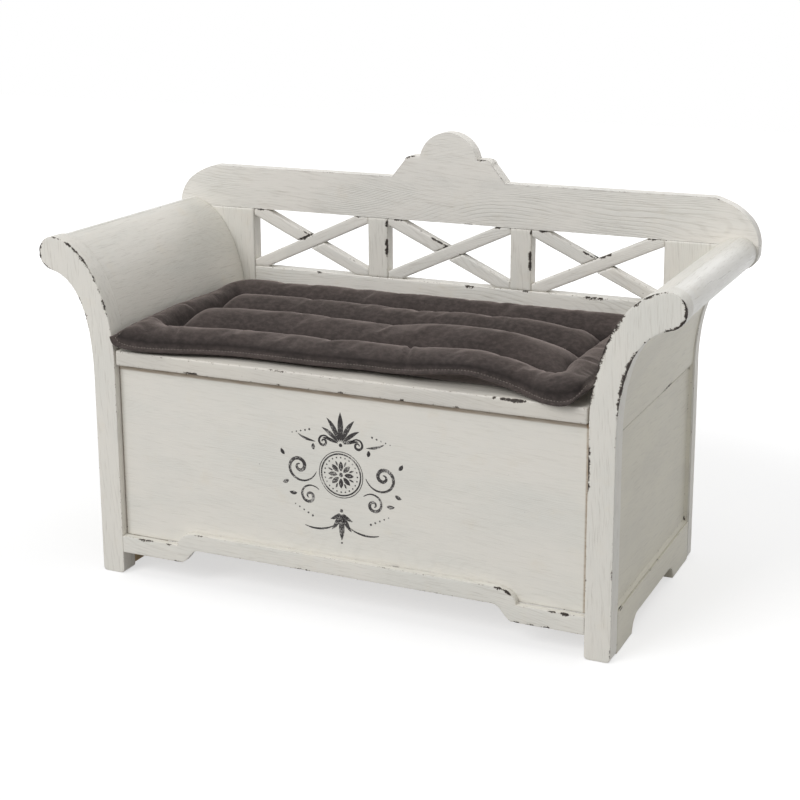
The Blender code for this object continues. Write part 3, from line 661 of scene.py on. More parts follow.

# the rolls' coat is painted lighter than the rest, a painted highlight on their tops
rollLitLook = {**paintLook, "coat": tint(240, 238, 232), "roughness": 0.30, "pores": 0.34}
panelLook = {**paintLook, "pores": 0.12}
# the lid's coat is painted darker, a painted shadow of the pad over its front edge
lidShadedLook = {**paintLook, "coat": tint(221, 216, 206), "cool": tint(214, 210, 202)}
# the ends' coat is painted darker and warmer, a painted shade on the bench's sides
endShadedLook = {**paintLook, "coat": tint(226, 221, 204), "cool": tint(219, 214, 199)}
# the back's coat is painted lighter, painted light that makes up for the back lying farther from the
# lamps
crestLitLook = {**paintLook, "coat": tint(237, 233, 225), "cool": tint(231, 229, 222)}
# painted shade along the front panel's seams, under the lid and beside the posts
panelSeamShades = (("z", 0.4155, 0.4195), ("x", -0.4735, -0.4765), ("x", 0.4675, 0.4715))
paints = {
    "x": paintFinish("paint_along_bench", "x", figure=0.45),
    "panel": paintFinish("paint_panel", "x", look=panelLook, seamShades=panelSeamShades),
    "lid": paintFinish("paint_lid_shaded", "x", figure=0.6, look=lidShadedLook),
    "crest": paintFinish("paint_crest_lit", "x", figure=0.9, look=crestLitLook),
    "roll": paintFinish("paint_roll_lit", "y", look=rollLitLook),
    "y": paintFinish("paint_along_arm", "y"),
    # paint_end is the painted shade copy of the paint
    "end": paintFinish("paint_end", "y", look=endShadedLook),
    "z": paintFinish("paint_upright", "z"),
    "rising": paintFinish("paint_rising", "x", barLean, 0.9, crestLitLook),
    "falling": paintFinish("paint_falling", "x", -barLean, 0.7, crestLitLook),
}


def paintOf(node):
    # which of the paints a node gets: the first of these words in its name tells
    if slotOf[node] == "paint_ends":
        return "end"
    named = {
        "back_top": "crest", "back_low": "crest", "front_panel": "panel", "seat_lid": "lid",
        "arm_roll": "roll", "rising": "rising", "falling": "falling", "post": "z", "stile": "z",
        "arm_": "y", "side_": "y",
    }
    return next((paint for word, paint in named.items() if word in node), "x")


paintedNodes = [node for node in sorted(frame["nodes"]) if slotOf[node].startswith("paint")]
for node in paintedNodes:
    board = addItem(node + "_board", wornMesh(node, spotsOf(node)))
    board.data.materials.append(paints[paintOf(node)])
    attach(board, bodyOf[node])
    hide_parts(node)
print("boards:", len(paintedNodes), "painted")

inner = {
    "lengthwise": bareFinish("bare_wood_lengthwise", "x"),
    "crosswise": bareFinish("bare_wood_crosswise", "y"),
    "brass": metalFinish("hinge_brass", *metalLook["brass"]),
    "steel": metalFinish("hinge_steel", *metalLook["steel"]),
}
for node, item in frame["nodes"].items():
    slot = slotOf[node]
    if slot == "bare_wood":
        slot = "lengthwise" if node == "chest_floor" else "crosswise"
    if slot in inner:
        item.data.materials.clear()
        item.data.materials.append(inner[slot])
print("inner pieces finished")


# Seat pad

def ease(value, low, high):
    share = min(max((value - low) / (high - low), 0), 1)
    return share * share * (3 - 2 * share)


def curve(keys, at):
    # a smooth line through keys of (place, value), flat at both ends
    if at <= keys[0][0]:
        return keys[0][1]
    for i in range(len(keys) - 1):
        (start, first), (end, second) = keys[i], keys[i + 1]
        if at <= end:
            before, after = keys[max(i - 1, 0)], keys[min(i + 2, len(keys) - 1)]
            span = end - start
            leave = (second - before[1]) / (end - before[0]) * span
            arrive = (after[1] - first) / (after[0] - start) * span
            t = (at - start) / span
            return (
                first * (2 * t ** 3 - 3 * t ** 2 + 1) + leave * (t ** 3 - 2 * t ** 2 + t)
                + second * (3 * t ** 2 - 2 * t ** 3) + arrive * (t ** 3 - t ** 2)
            )
    return keys[-1][1]


# all in mm on the bench, heights above the lid
padShape = {
    "halfWidth": 473.5,
    "frontEdge": (
        (-490, -8), (-476, -10), (-455, -11), (-418, -10), (-349, 0), (-288, 16), (-234, 26),
        (-161, 28), (-52, 26), (39, 31), (100, 27), (140, 22), (190, 19), (247, 20), (292, 20),
        (336, 15), (365, 5), (390, -7), (412, -14), (431, -17), (448, -17), (463, -15), (475, -12),
    ),
    "frontLift": (
        (-490, 25), (-476, 15), (-455, 9), (-418, 6), (-349, 7), (-234, 8), (-52, 9), (39, 10),
        (100, 11), (140, 15), (190, 22), (247, 26), (292, 19), (336, 10), (365, 4), (390, 1.5),
        (412, 0.6), (431, 1.5), (448, 6), (463, 14), (475, 22),
    ),
    "leftEdge": ((-10, -490), (2, -476), (12, -473.5), (470, -473.5)),
    "leftLift": ((-8, 25), (10, 30), (52, 32), (105, 34), (160, 36), (300, 35), (440, 24), (478, 10)),
    "rightEdge": ((-14, 474), (0, 473.5), (470, 473.5)),
    "rightLift": ((-12, 22), (20, 28), (60, 27), (150, 26), (400, 22), (478, 10)),
    "backEdge": ((-474, 477), (-200, 479), (0, 478), (240, 479), (474, 477)),
    "backLift": ((-474, 10), (-300, 4), (300, 4), (474, 10)),
    "seams": (132, 262, 375),
    "seamFollow": (1.0, 0.45, 0.15),  # how much of the front edge's wave each seam keeps
    "seamPull": ((260, 0), (370, -14), (475, -14)),  # the first seam's way to the right front corner
    "frontMean": 22,
    "leftRoll": 62,
    "rightRoll": 80,
    "crowns": {"front": 43, "first": 51, "second": 53, "back": 58, "left": 49, "right": 54},
    "swells": {  # how each roll rises and sinks along the bench
        "front": (
            (-490, 2), (-300, 0), (0, 0), (112, 3), (200, 10), (245, 13), (290, 8), (345, -1),
            (390, -6), (440, 0), (475, 6),
        ),
        "first": ((0, 0), (110, 8), (200, 12), (260, 10), (320, 0), (370, -8)),
        "second": ((0, 0), (200, 4), (280, 2), (340, -4), (400, -5)),
    },
    "seamRise": 6.5,
    "hem": 9.5,
    "hemThickness": 3.4,
    "hemRise": 4.5,
    "stitchIn": 8.0,
    "underRise": 42,  # how far in the lifted hem's underside reaches the lid
    "corners": {"frontLeft": 24, "frontRight": 34, "back": 14},
    "edgeRows": (0, 0.9, 2.2, 4.6, 7.0, 8.0, 9.0, 10.6, 13.5),
    "cell": 5.2,
    "sewnWidth": 2.7,
    "valleyShadeWidth": 8.0,
    "puckers": 0.55,
    "seamReach": 15,  # how far from the seams and from the hem the cloth puckers
    "hemReach": 16,
    "unevenness": 0.7,
    "drift": 2.2,
    "liftBlend": 4,  # how softly the lifts of two sides meet, and the sides themselves
    "sideBlend": 5,
    "dip": (1.1, 0.9),  # depth and width of the groove under the stitches
    "lip": 1.0,  # how far in the hem's edge is rounded
    "endRun": 46,  # from its end to where a channel has its full height
    "fullness": {"channel": 0.56, "end": 0.55, "border": 0.54},  # a lower power makes a fuller roll
    "borderLean": 0.84,  # less than 1 moves a border roll's top outwards
}

# how the stuffing swells the cloth between its seams
clothLook = {
    "frames": 14,
    "pressure": 0.8,
    "slack": 0.009,  # share by which the cloth is longer than the way between its seams
    "bending": 2.0,
    "mostMoved": 0.006,
}

# folds pressed into the rolls: places on the bench in mm, then depth and width
padCreases = (
    (((-377, 66), (-362, 44), (-350, 16)), 5.0, 7),
    (((-434, 40), (-414, 22), (-396, 4)), 3.6, 8),
    (((-398, 60), (-384, 36)), 3.0, 6),
    (((-452, 92), (-422, 96)), 2.6, 8),
    (((94, 122), (106, 92), (114, 62), (124, 36)), 5.2, 6),
    (((150, 110), (156, 92)), 1.6, 6),
    (((334, 64), (328, 40), (334, 20)), 2.2, 7),
    (((376, 76), (366, 44), (368, 10)), 3.0, 7),
    (((398, 64), (392, 38)), 3.4, 6),
    (((404, 128), (430, 112), (454, 110)), 3.2, 8),
    (((404, 206), (440, 196)), 2.6, 9),
    (((404, 300), (436, 294)), 2.0, 9),
    (((-418, 210), (-450, 204)), 2.4, 9),
    (((-250, 96), (-246, 70)), 1.4, 8),
    (((260, 236), (256, 206)), 1.2, 9),
    (((-60, 366), (-64, 338)), 1.2, 9),
)


def waver(x, y, at):
    return noise.noise(Vector((x, y, at)))


def nearLine(x, y, points):
    # distance to a line through points, and how far along it the nearest place lies, from 0 to 1
    best, where = 1e9, 0
    for i in range(len(points) - 1):
        (ax, ay), (bx, by) = points[i], points[i + 1]
        dx, dy = bx - ax, by - ay
        t = min(max(((x - ax) * dx + (y - ay) * dy) / (dx * dx + dy * dy), 0), 1)
        gap = math.hypot(x - ax - t * dx, y - ay - t * dy)
        if gap < best:
            best, where = gap, (i + t) / (len(points) - 1)
    return best, where


def padLines(x, look=padShape):
    # where the front edge, the three lengthwise seams and the back edge cross the line at x
    front = curve(look["frontEdge"], x)
    wave = front - look["frontMean"]
    seams = [seam + wave * follow for seam, follow in zip(look["seams"], look["seamFollow"])]
    seams[0] += curve(look["seamPull"], x)
    return [front] + seams + [curve(look["backEdge"], x)]


def padTop(x, y, gaps, lines, look=padShape):
    # lift of the hem, height of the pad's upper side and distance to the nearest seam. gaps are the
    # distances to the pad's front, back, left and right edges.
    lifts = (
        curve(look["frontLift"], x), curve(look["backLift"], x),
        curve(look["leftLift"], y), curve(look["rightLift"], y),
    )
    weights = [1 / (gap + look["liftBlend"]) ** 3 for gap in gaps]
    lift = sum(a * b for a, b in zip(lifts, weights)) / sum(weights)
    nearest, hem, blend = min(gaps), look["hem"], look["sideBlend"]
    hemTop = lift + look["hemThickness"] + look["hemRise"] * min(nearest / hem, 1)
    if nearest <= hem:
        depth, width = look["dip"]
        dip = depth * math.exp(-((nearest - look["stitchIn"]) / width) ** 2)
        rounded = look["hemThickness"] * 0.5 * (1 - min(nearest / look["lip"], 1)) ** 2
        return hemTop - look["hemThickness"], hemTop - rounded - dip, 0.0
    edge = -math.log(sum(math.exp(-gap / blend) for gap in gaps)) * blend
    edge = min(max(edge, 0), nearest)
    left = x - (look["leftRoll"] + curve(look["leftEdge"], y))
    right = curve(look["rightEdge"], y) - look["rightRoll"] - x
    _, first, second, third, _ = lines
    crowns, fullness = look["crowns"], look["fullness"]
    inside = min(left, right)
    if inside > 0 and first < y < third:
        near, far, roll = (first, second, "first") if y < second else (second, third, "second")
        crown = crowns[roll] + curve(look["swells"][roll], x)
        share = (y - near) / (far - near)
        end = min(inside / look["endRun"], 1)
        base = look["seamRise"]
        profile = max(math.sin(math.pi * share), 0) ** fullness["channel"]
        profile *= math.sin(math.pi / 2 * end) ** fullness["end"]
    else:
        out = max(edge - hem + 1.2, 0.2)
        inward = math.hypot(max(-inside, 0), max(first - y, y - third, 0))
        share = out / (out + inward)
        sides = {
            "front": ease(first - y, -30, 40), "back": ease(y - third, -30, 30),
            "left": ease(-left, -20, 30), "right": ease(-right, -20, 40),
        }
        total = sum(sides.values()) + 0.001
        crown = sum(crowns[name] * part for name, part in sides.items()) / total
        crown = max(crown + curve(look["swells"]["front"], x) * sides["front"], lift + 15)
        base = hemTop + (look["seamRise"] - hemTop) * share
        profile = max(math.sin(math.pi * share ** look["borderLean"]), 0) ** fullness["border"]
    crown += look["drift"] * waver(x / 85, y / 55, 0.7)
    height = base + (crown - base) * profile
    seamGap = min(abs(y - line) for line in lines[1:4]) if inside > -6 else 99
    ends = (abs(left), abs(right)) if first < y < third else ()
    seamGap = min(seamGap, 99, *ends)
    ripple = waver(x / 9, y / 30, 4.2) + 0.6 * waver(x / 5, y / 14, 9.1)
    across = ripple if min(gaps[:2]) < min(gaps[2:]) else waver(x / 30, y / 9, 2.2)
    pastHem = edge - hem
    height += look["puckers"] * ripple * math.exp(-seamGap / look["seamReach"])
    hemShare = math.exp(-max(pastHem, 0) / look["hemReach"])
    height += look["puckers"] * 1.1 * across * hemShare * min(pastHem / 3, 1)
    height += look["unevenness"] * waver(x / 24, y / 24, 5.5)
    for points, depth, width in padCreases:
        gap, where = nearLine(x, y, points)
        if gap < 4 * width:
            fade = math.sin(math.pi * min(max(where, 0.08), 0.92)) ** 0.7
            t = gap / width
            bulge = 0.42 * math.exp(-((t - 1.5) / 0.8) ** 2)
            height -= depth * fade * (math.exp(-t * t * 2.2) - bulge)
    return lift, height, min(seamGap, max(pastHem, 0))


def padSteps(low, stops, high, look=padShape):
    # places from one edge over the stops to the other, fine along the hems
    rows = [low + step for step in look["edgeRows"]]
    back = [high - step for step in reversed(look["edgeRows"])]
    for start, end in zip([rows[-1]] + stops, stops + [back[0]]):
        count = max(2, round(abs(end - start) / look["cell"]))
        rows += [start + (end - start) * (i + 1) / count for i in range(count)]
    return rows + back[1:]


def rowAt(value, middle, lines, border):
    # where a row runs that lies at this value on the pad's middle line, given another line's seams
    if value <= middle[0] + border:
        return lines[0] + value - middle[0]
    if value >= middle[4] - border:
        return lines[4] + value - middle[4]
    keys = [middle[0] + border] + middle[1:4] + [middle[4] - border]
    places = [lines[0] + border] + lines[1:4] + [lines[4] - border]
    i = max(k for k in range(4) if value >= keys[k] - 0.001)
    return places[i] + (places[i + 1] - places[i]) * (value - keys[i]) / (keys[i + 1] - keys[i])


def makePad(look=padShape):
    middle = padLines(0)
    half = look["halfWidth"]
    columns = padSteps(-half, [look["leftRoll"] - half, half - look["rightRoll"]], half)
    rows = padSteps(middle[0], middle[1:4], middle[4])
    shape = bmesh.new()
    sewn = shape.verts.layers.float.new("sewn")
    valleyShade = shape.verts.layers.float.new("valleyShade")
    top, under = [], []
    for column in columns:
        u = (column + half) / (2 * half)
        lines = padLines(column)
        topRow, underRow = [], []
        for value in rows:
            y = rowAt(value, middle, lines, look["edgeRows"][-1])
            left, right = curve(look["leftEdge"], y), curve(look["rightEdge"], y)
            x = column + (left + half) * max(1 - u * 12, 0) + (right - half) * max(u * 12 - 11, 0)
            gaps = [y - lines[0], lines[4] - y, x - left, right - x]
            topLift, height, seamGap = padTop(x, y, gaps, lines)
            isLeft, isFront = gaps[2] < gaps[3], gaps[0] < gaps[1]
            corner = look["corners"]["back"]
            if isFront:
                corner = look["corners"]["frontLeft" if isLeft else "frontRight"]
            sideX, sideY = roundCorner(min(gaps[2:]), min(gaps[:2]), corner)
            x += (sideX - min(gaps[2:])) * (1 if isLeft else -1)
            y += (sideY - min(gaps[:2])) * (1 if isFront else -1)
            outer = min(gaps)
            fall = 1 - ease(outer, look["hem"], look["underRise"])
            floor = 0.6 + (topLift - 0.6) * fall
            lid = lidTop * 1000
            onEdge = outer < 0.01
            rise = topLift + look["hemThickness"] * 0.5 if onEdge else height
            vert = shape.verts.new(mm(x, y, lid + rise))
            vert[sewn] = 1.0 if seamGap < look["sewnWidth"] else 0.0
            # painted shade in the valleys beside the seams
            vert[valleyShade] = math.exp(-seamGap / look["valleyShadeWidth"]) if outer > look["hem"] else 0.0
            topRow.append(vert)
            underRow.append(vert if onEdge else shape.verts.new(mm(x, y, lid + floor)))
        top.append(topRow)
        under.append(underRow)
    for i in range(len(top) - 1):
        for j in range(len(rows) - 1):
            shape.faces.new((top[i][j], top[i + 1][j], top[i + 1][j + 1], top[i][j + 1]))
            lower = (under[i][j], under[i][j + 1], under[i + 1][j + 1], under[i + 1][j])
            if len(set(lower)) == 4:
                shape.faces.new(lower)
    shape.normal_update()
    ring = look["edgeRows"].index(look["stitchIn"])
    seam = [top[i][ring] for i in range(ring, len(top) - ring)]
    seam += [top[-1 - ring][j] for j in range(ring + 1, len(rows) - ring)]
    seam += [top[i][-1 - ring] for i in range(len(top) - ring - 2, ring - 1, -1)]
    seam += [top[ring][j] for j in range(len(rows) - ring - 2, ring - 1, -1)]
    seam = [(vert.co.copy(), vert.normal.copy()) for vert in seam]
    for face in shape.faces:
        face.smooth = True
    shape.verts.index_update()
    grid = [[vert.index for vert in column] for column in top]
    return addItem("channelled_pad", meshFrom(shape, "channelled_pad")), grid, seam


def swellPad(mesh, grid, look=clothLook):
    # a short cloth run on the upper side alone, held at the hem and the seams
    order = [index for column in grid for index in column]
    before = [mesh.vertices[index].co.copy() for index in order]
    held = [k for k, index in enumerate(order) if mesh.attributes["sewn"].data[index].value > 0.5]
    rows = len(grid[0])
    corners = [i * rows + j for i in range(len(grid) - 1) for j in range(rows - 1)]
    sheet = bpy.data.meshes.new("pad_upper_side")
    sheet.from_pydata(before, [], [(k, k + rows, k + rows + 1, k + 1) for k in corners])
    item = addItem("pad_upper_side", sheet)
    item.vertex_groups.new(name="sewn").add(held, 1.0, "REPLACE")
    cloth = item.modifiers.new("cloth", "CLOTH")
    settings = {
        "vertex_group_mass": "sewn", "quality": 4, "mass": 0.2, "air_damping": 2.0,
        "tension_stiffness": 12.0, "compression_stiffness": 12.0, "shear_stiffness": 4.0,
        "bending_stiffness": look["bending"], "tension_damping": 8.0, "compression_damping": 8.0,
        "shear_damping": 8.0, "bending_damping": 1.0, "shrink_min": -look["slack"],
        "use_pressure": True, "uniform_pressure_force": look["pressure"],
    }
    for name, value in settings.items():
        setattr(cloth.settings, name, value)
    cloth.settings.effector_weights.gravity = 0
    cloth.collision_settings.use_collision = False
    cloth.point_cache.frame_end = look["frames"]
    for number in range(1, look["frames"] + 1):
        bpy.context.scene.frame_set(number)
    swollen = item.evaluated_get(bpy.context.evaluated_depsgraph_get()).data
    for index, was, now in zip(order, before, swollen.vertices):
        move = now.co - was
        mesh.vertices[index].co = was + move * min(look["mostMoved"] / max(move.length, 1e-6), 1)
    bpy.context.scene.frame_set(1)
    bpy.data.objects.remove(item)
    bpy.data.meshes.remove(sheet)


stitchLook = {"length": 0.0034, "pitch": 0.0062, "width": 0.0006, "height": 0.0006}


def makeStitches(seam, look=stitchLook):
    # one short thread after another along the hem
    thread = bmesh.new()
    bmesh.ops.create_uvsphere(thread, u_segments=6, v_segments=4, radius=1)
    corners = [vert.co.copy() for vert in thread.verts]
    sides = []
    for face in thread.faces:
        ring = [vert.index for vert in face.verts]
        first = ring.index(min(ring))
        sides.append(ring[first:] + ring[:first])
    sides.sort()  # the sphere's faces come in another order each time
    thread.free()
    places, faces = [], []
    travelled = 0.0
    size = Matrix.Diagonal((look["length"] / 2, look["width"], look["height"]))
    for i in range(len(seam) - 1):
        (start, up), (end, _) = seam[i], seam[i + 1]
        length = (end - start).length
        along = (end - start).normalized()
        turn = Matrix((along, up.cross(along).normalized(), up)).transposed() @ size
        while travelled < length:
            middle = start + along * travelled + up * look["height"] * 0.9
            faces += [[index + len(places) for index in side] for side in sides]
            places += [middle + turn @ corner for corner in corners]
            travelled += look["pitch"]
        travelled -= length
    mesh = bpy.data.meshes.new("pad_stitches")
    mesh.from_pydata(places, [], faces)
    mesh.shade_smooth()
    return addItem("pad_stitches", mesh)


velvetLook = {
    "pile": tint(68, 62, 59),
    "brushed": tint(86, 77, 73),
    "rubbed": tint(96, 85, 83),
    # darkest pile, also the colour of the painted shade in the valleys
    "crushedPileAndShade": tint(32, 28, 27),
    "thread": tint(146, 138, 129),
    "sheenTint": tint(230, 214, 207),
    "roughness": 0.88,
    "sheen": 0.55,
    "sheenRoughness": 0.42,
}


def velvetFinish(look=velvetLook):
    # short dense pile that lies one way or the other in soft patches
    kit = Finish("velvet")
    x, y, z = kit.place()
    lay = kit.mottle(x * 8, y * 15, z * 15, 3, 0.55, 0.6)
    hand = kit.mottle(x * 30, y * 45, z * 45, 4, 0.6, 0.5)
    nap = kit.mottle(x * 100, y * 140, z * 140, 4, 0.65)
    pile = kit.mottle(x * 1500, y * 1500, z * 1500, 2)
    colour = kit.mix(kit.between(lay, 0.35, 0.7) * 0.6, look["pile"], look["brushed"])
    colour = kit.mix(kit.between(nap, 0.35, 0.7) * 0.5, colour, look["rubbed"])
    dark = kit.between(hand, 0.5, 0.8) * 0.3 + kit.between(nap, 0.65, 0.35) * 0.25
    colour = kit.mix(dark, colour, look["crushedPileAndShade"])
    # painted shade: the pile darkens in the valleys along the seams
    colour = kit.mix(pile * 0.25 + kit.mark("valleyShade") * 0.75, colour, look["crushedPileAndShade"])
    return kit.surface({
        "Base Color": colour,
        "Roughness": look["roughness"],
        "Specular IOR Level": 0.15,
        "Sheen Weight": look["sheen"],
        "Sheen Roughness": look["sheenRoughness"],
        "Sheen Tint": look["sheenTint"],
        "Normal": kit.bump(pile * 0.6 + hand * 0.8, 0.0005, 0.5),
    })


def threadFinish(look=velvetLook):
    kit = Finish("thread")
    x, y, z = kit.place()
    twist = kit.mottle(x * 2500, y * 2500, z * 2500, 1)
    return kit.surface({
        "Base Color": kit.mix(twist * 0.5, look["thread"], look["brushed"]),
        "Roughness": 0.7,
        "Normal": kit.bump(twist, 0.0001, 0.5),
    })


pad, padGrid, hemSeam = makePad()
swellPad(pad.data, padGrid)
pad.data.materials.append(velvetFinish())
stitches = makeStitches(hemSeam)
stitches.data.materials.append(threadFinish())
for piece in (pad, stitches):
    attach(piece, "lid")
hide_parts("seat_pad")
print("pad:", len(pad.data.polygons), "faces")


# Printed ornament

# all in mm from the middle of the print
printLook = {
    "middle": (0, 268),
    "rise": 0.25,  # of its face over the panel
    "depth": 0.15,
    "weight": 1.4,  # of the lines
    "stray": 0.35,
    "ink": tint(50, 47, 47),
    "thinInk": tint(92, 89, 87),
    "rubbed": tint(208, 205, 199),
    "roughness": 0.62,
}


def polar(x, y, reach, turn):
    angle = 2 * math.pi * turn
    return x + reach * math.cos(angle), y + reach * math.sin(angle)


def spiral(x, y, outer, inner, start, turns, steps=40):
    # a curl round x, y. Its angles are in turns, and it closes in from outer to inner.
    parts = [i / steps for i in range(steps + 1)]
    return [polar(x, y, outer * (inner / outer) ** t, start + turns * t) for t in parts]


def arc(x, y, radius, start, end, steps=48):
    return spiral(x, y, radius, radius, start, end - start, steps)


def ray(x, y, turn, near, far, bend=0.0, steps=10):
    # a line outwards from x, y, which may bend to one side
    parts = [i / steps for i in range(steps + 1)]
    return [polar(x, y, near + (far - near) * t, turn + bend * t * t) for t in parts]


def swelling(low, high):
    return lambda t: low + (high - low) * math.sin(math.pi * t) ** 0.8


def petalWidth(width):
    return lambda t: 0.25 + width * math.sin(math.pi * min(t * 1.02, 1)) ** 0.75


def printStrokes():
    # what lies on the middle line, and the right half of what is mirrored: lines with their widths
    middle = []
    for i in range(8):
        middle.append((ray(0, 0, i / 8, 7, 26), petalWidth(6.2)))
        middle.append((ray(0, 0, (i + 0.5) / 8, 18, 28), petalWidth(2.2)))
    middle += [
        (arc(0, 0, 40, 0, 1, 72), lambda t: 2.0),
        (arc(0, 0, 44.5, 0, 1, 72), lambda t: 1.0),
        (ray(0, 58, 0.25, 6, 62), petalWidth(8)),
        (ray(0, -72, 0.75, 5, 56), petalWidth(8)),
    ]
    # fan over the ring, scrolls and leaves at its sides, swag and drop below
    half = []
    for i, far in enumerate((56, 48, 38)):
        half.append((ray(0, 58, 0.187 - 0.063 * i, 6, far, -0.02), petalWidth(6.4 - i)))
    half += [
        (spiral(35, 60, 15, 3, 0.48, -1.5), swelling(0.8, 3.4)),
        (ray(52, 58, 0.02, 0, 38, 0.03), petalWidth(3.2)),
        (spiral(86, 6, 36, 4, 0.53, 1.75, 64), swelling(1.0, 5.0)),
        (spiral(66, -50, 25, 3.4, 0.40, -1.6, 52), swelling(0.9, 4.2)),
    ]
    leaves = ((120, 22, 0.12, 17), (112, -22, -0.10, 18), (60, 38, 0.2, 16), (94, -47, -0.03, 20))
    half += [(ray(x - 6, y, turn, 4, far, 0.03), petalWidth(5)) for x, y, turn, far in leaves]
    half += [
        (arc(54, -40, 72, 0.80, 0.66, 30), swelling(0.8, 2.6)),
        (ray(0, -72, 0.81, 5, 42, 0.02), petalWidth(6)),
        (ray(0, -72, 0.87, 5, 28, 0.03), petalWidth(4.6)),
    ]
    dots = [polar(0, 0, 33.5, i / 24) + (1.5,) for i in range(24)]
    dots += [(0, 0, 4.2), (0, 57, 3.6), (0, -70, 3.4), (0, -133, 1.8)]
    for i in range(5):
        for side in (-1, 1):
            dots.append((side * (60 + 9 * i), -88 + 4.6 * i, 2.2 - 0.25 * i))
            dots.append((side * (64 + 9 * i), 80 - 2.5 * i, 2.0 - 0.22 * i))
    mirrored = [([(-x, y) for x, y in points], width) for points, width in half]
    return middle + half + mirrored, dots


def makePrint(look=printLook):
    shape = bmesh.new()
    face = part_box("front_panel")[0].y
    across, up = look["middle"]

    def corner(x, y, deep):
        # hand-cut edges stray a little
        x += look["stray"] * waver(x / 3, y / 3, 1.0)
        y += look["stray"] * waver(x / 3, y / 3, 8.0)
        place = ((across + x) / 1000, face - (look["rise"] - deep) / 1000, (up + y) / 1000)
        return shape.verts.new(place)

    strokes, dots = printStrokes()
    for points, width in strokes:
        before = None
        for i, (x, y) in enumerate(points):
            (ax, ay), (bx, by) = points[max(i - 1, 0)], points[min(i + 1, len(points) - 1)]
            length = math.hypot(bx - ax, by - ay)
            sx, sy = (ay - by) / length, (bx - ax) / length
            w = width(i / (len(points) - 1)) * look["weight"] / 2
            section = ((1, 0), (-1, 0), (-1, look["depth"]), (1, look["depth"]))
            ring = [corner(x + s * sx * w, y + s * sy * w, deep) for s, deep in section]
            if before:
                for j in range(4):
                    shape.faces.new((before[j], before[j - 1], ring[j - 1], ring[j]))
            else:
                shape.faces.new(ring)
            before = ring
        shape.faces.new(reversed(before))
    for x, y, radius in dots:
        rings = [
            [corner(*polar(x, y, radius, i / 12), deep) for i in range(12)]
            for deep in (0, look["depth"])
        ]
        shape.faces.new(rings[0])
        shape.faces.new(reversed(rings[1]))
        for i in range(12):
            shape.faces.new((rings[0][i - 1], rings[1][i - 1], rings[1][i], rings[0][i]))
    bmesh.ops.recalc_face_normals(shape, faces=shape.faces)
    return addItem("printed_ornament", meshFrom(shape, "printed_ornament"))


def inkFinish(look=printLook):
    # dark ink dabbed on through a stencil, rubbed off in specks and along the wood's fibres
    kit = Finish("stencil_ink")
    x, y, z = kit.place()
    specks = kit.mottle(x * 420, y, z * 520, 4, 0.7)
    fibre = kit.mottle(x * 22, y, z * 330, 4, 0.6)
    cloud = kit.mottle(x * 26, y, z * 30, 3, 0.55)
    rubbed = kit.between(specks * 0.6 + fibre * 0.25 + cloud * 0.35, 0.64, 0.69)
    colour = kit.mix(kit.between(cloud, 0.35, 0.75) * 0.6, look["ink"], look["thinInk"])
    return kit.surface({
        "Base Color": kit.mix(rubbed * 0.85, colour, look["rubbed"]),
        "Roughness": look["roughness"],
        "Specular IOR Level": 0.3,
        "Normal": kit.bump(specks, 0.0002, 0.4),
    })


ornament = makePrint()
ornament.data.materials.append(inkFinish())
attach(ornament, "bench")
print("ornament printed")


# Floor, light and camera

stageLook = {
    "floorSize": 14.0,
    "floorDrop": 0.0005,
    "floorShade": tint(186, 186, 186),
    "floorLift": 0.62,
    "floorNear": 0.9,  # the floor is white from floorFar on, and shows its shadows up to floorNear
    "floorFar": 2.4,
    "skyShade": (1.0, 1.0, 1.0, 1.0),
    "skyStrength": 0.40,
    "lamps": {  # place, width, power, colour
        "key": ((-4.5, -9.0, 7.6), 6.0, 768.0, (0.98, 0.985, 1.0)),
        "top": ((0.8, -0.4, 4.4), 2.4, 26.0, (1.0, 1.0, 1.0)),
        "rear": ((1.2, 3.4, 3.2), 2.4, 28.0, (1.0, 1.0, 1.0)),
        "fill": ((3.4, -3.2, 1.6), 2.6, 3.0, (1.0, 0.99, 0.95)),
    },
    "cameraPlace": (1.2783, -2.7840, 1.2627),
    "cameraTurn": 24.548,
    "cameraPitch": 13.624,
    "cameraRoll": -0.318,
    "lens": 73.23,
    "shift": -0.11,
}


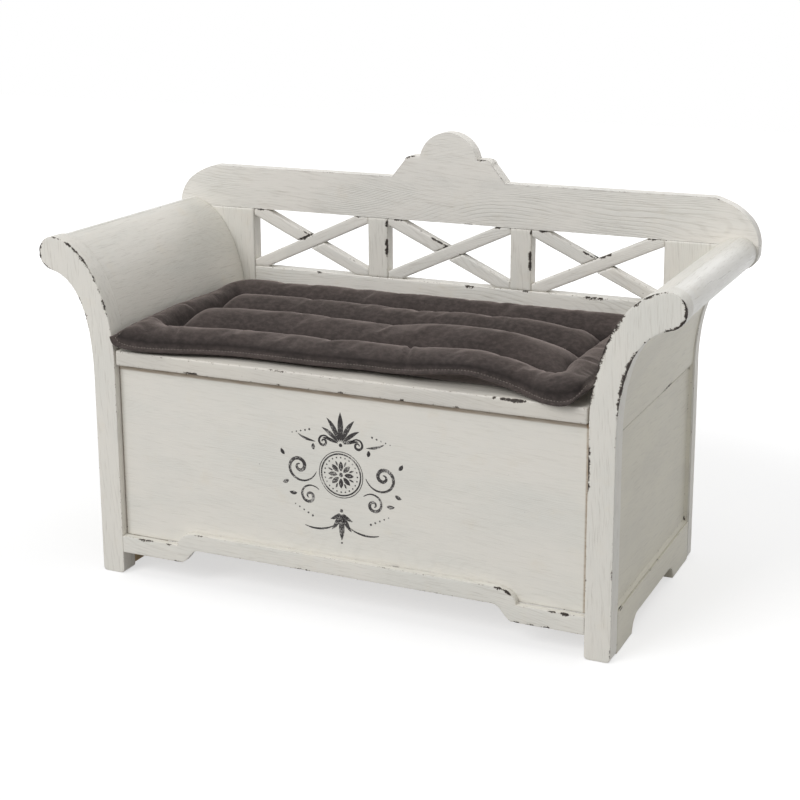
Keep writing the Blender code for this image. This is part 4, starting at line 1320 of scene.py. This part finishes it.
def floorFinish(look=stageLook):
    # pale, and lifted to white where the camera and mirrors see it unshaded
    kit = Finish("studio_floor")
    x, y, z = kit.place()
    away = kit.between((x * x + y * y) ** 0.5, look["floorNear"], look["floorFar"])
    lift = (away * (1 - look["floorLift"]) + look["floorLift"]) * kit.seen()
    return kit.surface({
        "Base Color": look["floorShade"],
        "Roughness": 0.9,
        "Specular IOR Level": 0.0,
        "Emission Color": kit.mix(lift, (0, 0, 0, 1), (1, 1, 1, 1)),
        "Emission Strength": 1.0,
    })


def makeFloor(look=stageLook):
    shape = bmesh.new()
    bmesh.ops.create_grid(shape, x_segments=8, y_segments=8, size=look["floorSize"] / 2)
    floor = addItem("studio_floor", meshFrom(shape, "studio_floor"))
    floor.location.z = cadLow.z - look["floorDrop"]
    floor.data.materials.append(floorFinish())


def makeWorld(look=stageLook):
    world = bpy.data.worlds.new("studio")
    world.use_nodes = True
    bpy.context.scene.world = world
    kit = Finish(world)
    soft = kit.node("Background", inputs={"Color": look["skyShade"], "Strength": look["skyStrength"]})
    white = kit.node("Background", inputs={"Color": (1, 1, 1, 1), "Strength": 1.0})
    both = kit.node("MixShader", inputs={0: kit.seen(), 1: soft, 2: white})
    kit.node("OutputWorld", inputs={"Surface": both})


def makeLight(name, place, aim, size, power, shade):
    light = bpy.data.lights.new(name, "AREA")
    light.energy = power
    light.size = size
    light.color = shade
    item = addItem(name, light)
    item.location = place
    item.rotation_euler = (Vector(aim) - Vector(place)).to_track_quat("-Z", "Y").to_euler()


def makeCamera(look=stageLook):
    camera = bpy.data.cameras.new("camera")
    camera.lens = look["lens"]
    camera.shift_y = look["shift"]
    item = addItem("camera", camera)
    item.location = look["cameraPlace"]
    turn = Matrix.Rotation(math.radians(look["cameraTurn"]), 4, "Z")
    tilt = Matrix.Rotation(math.radians(90 - look["cameraPitch"]), 4, "X")
    roll = Matrix.Rotation(math.radians(look["cameraRoll"]), 4, "Z")
    item.rotation_euler = (turn @ tilt @ roll).to_euler()
    bpy.context.scene.camera = item


makeFloor()
makeWorld()
middle = (cadLow + cadHigh) / 2
for name, (place, width, power, shade) in stageLook["lamps"].items():
    makeLight(name, place, middle, width, power, shade)
makeCamera()
bpy.context.scene.view_settings.view_transform = "Standard"
print("stage set")
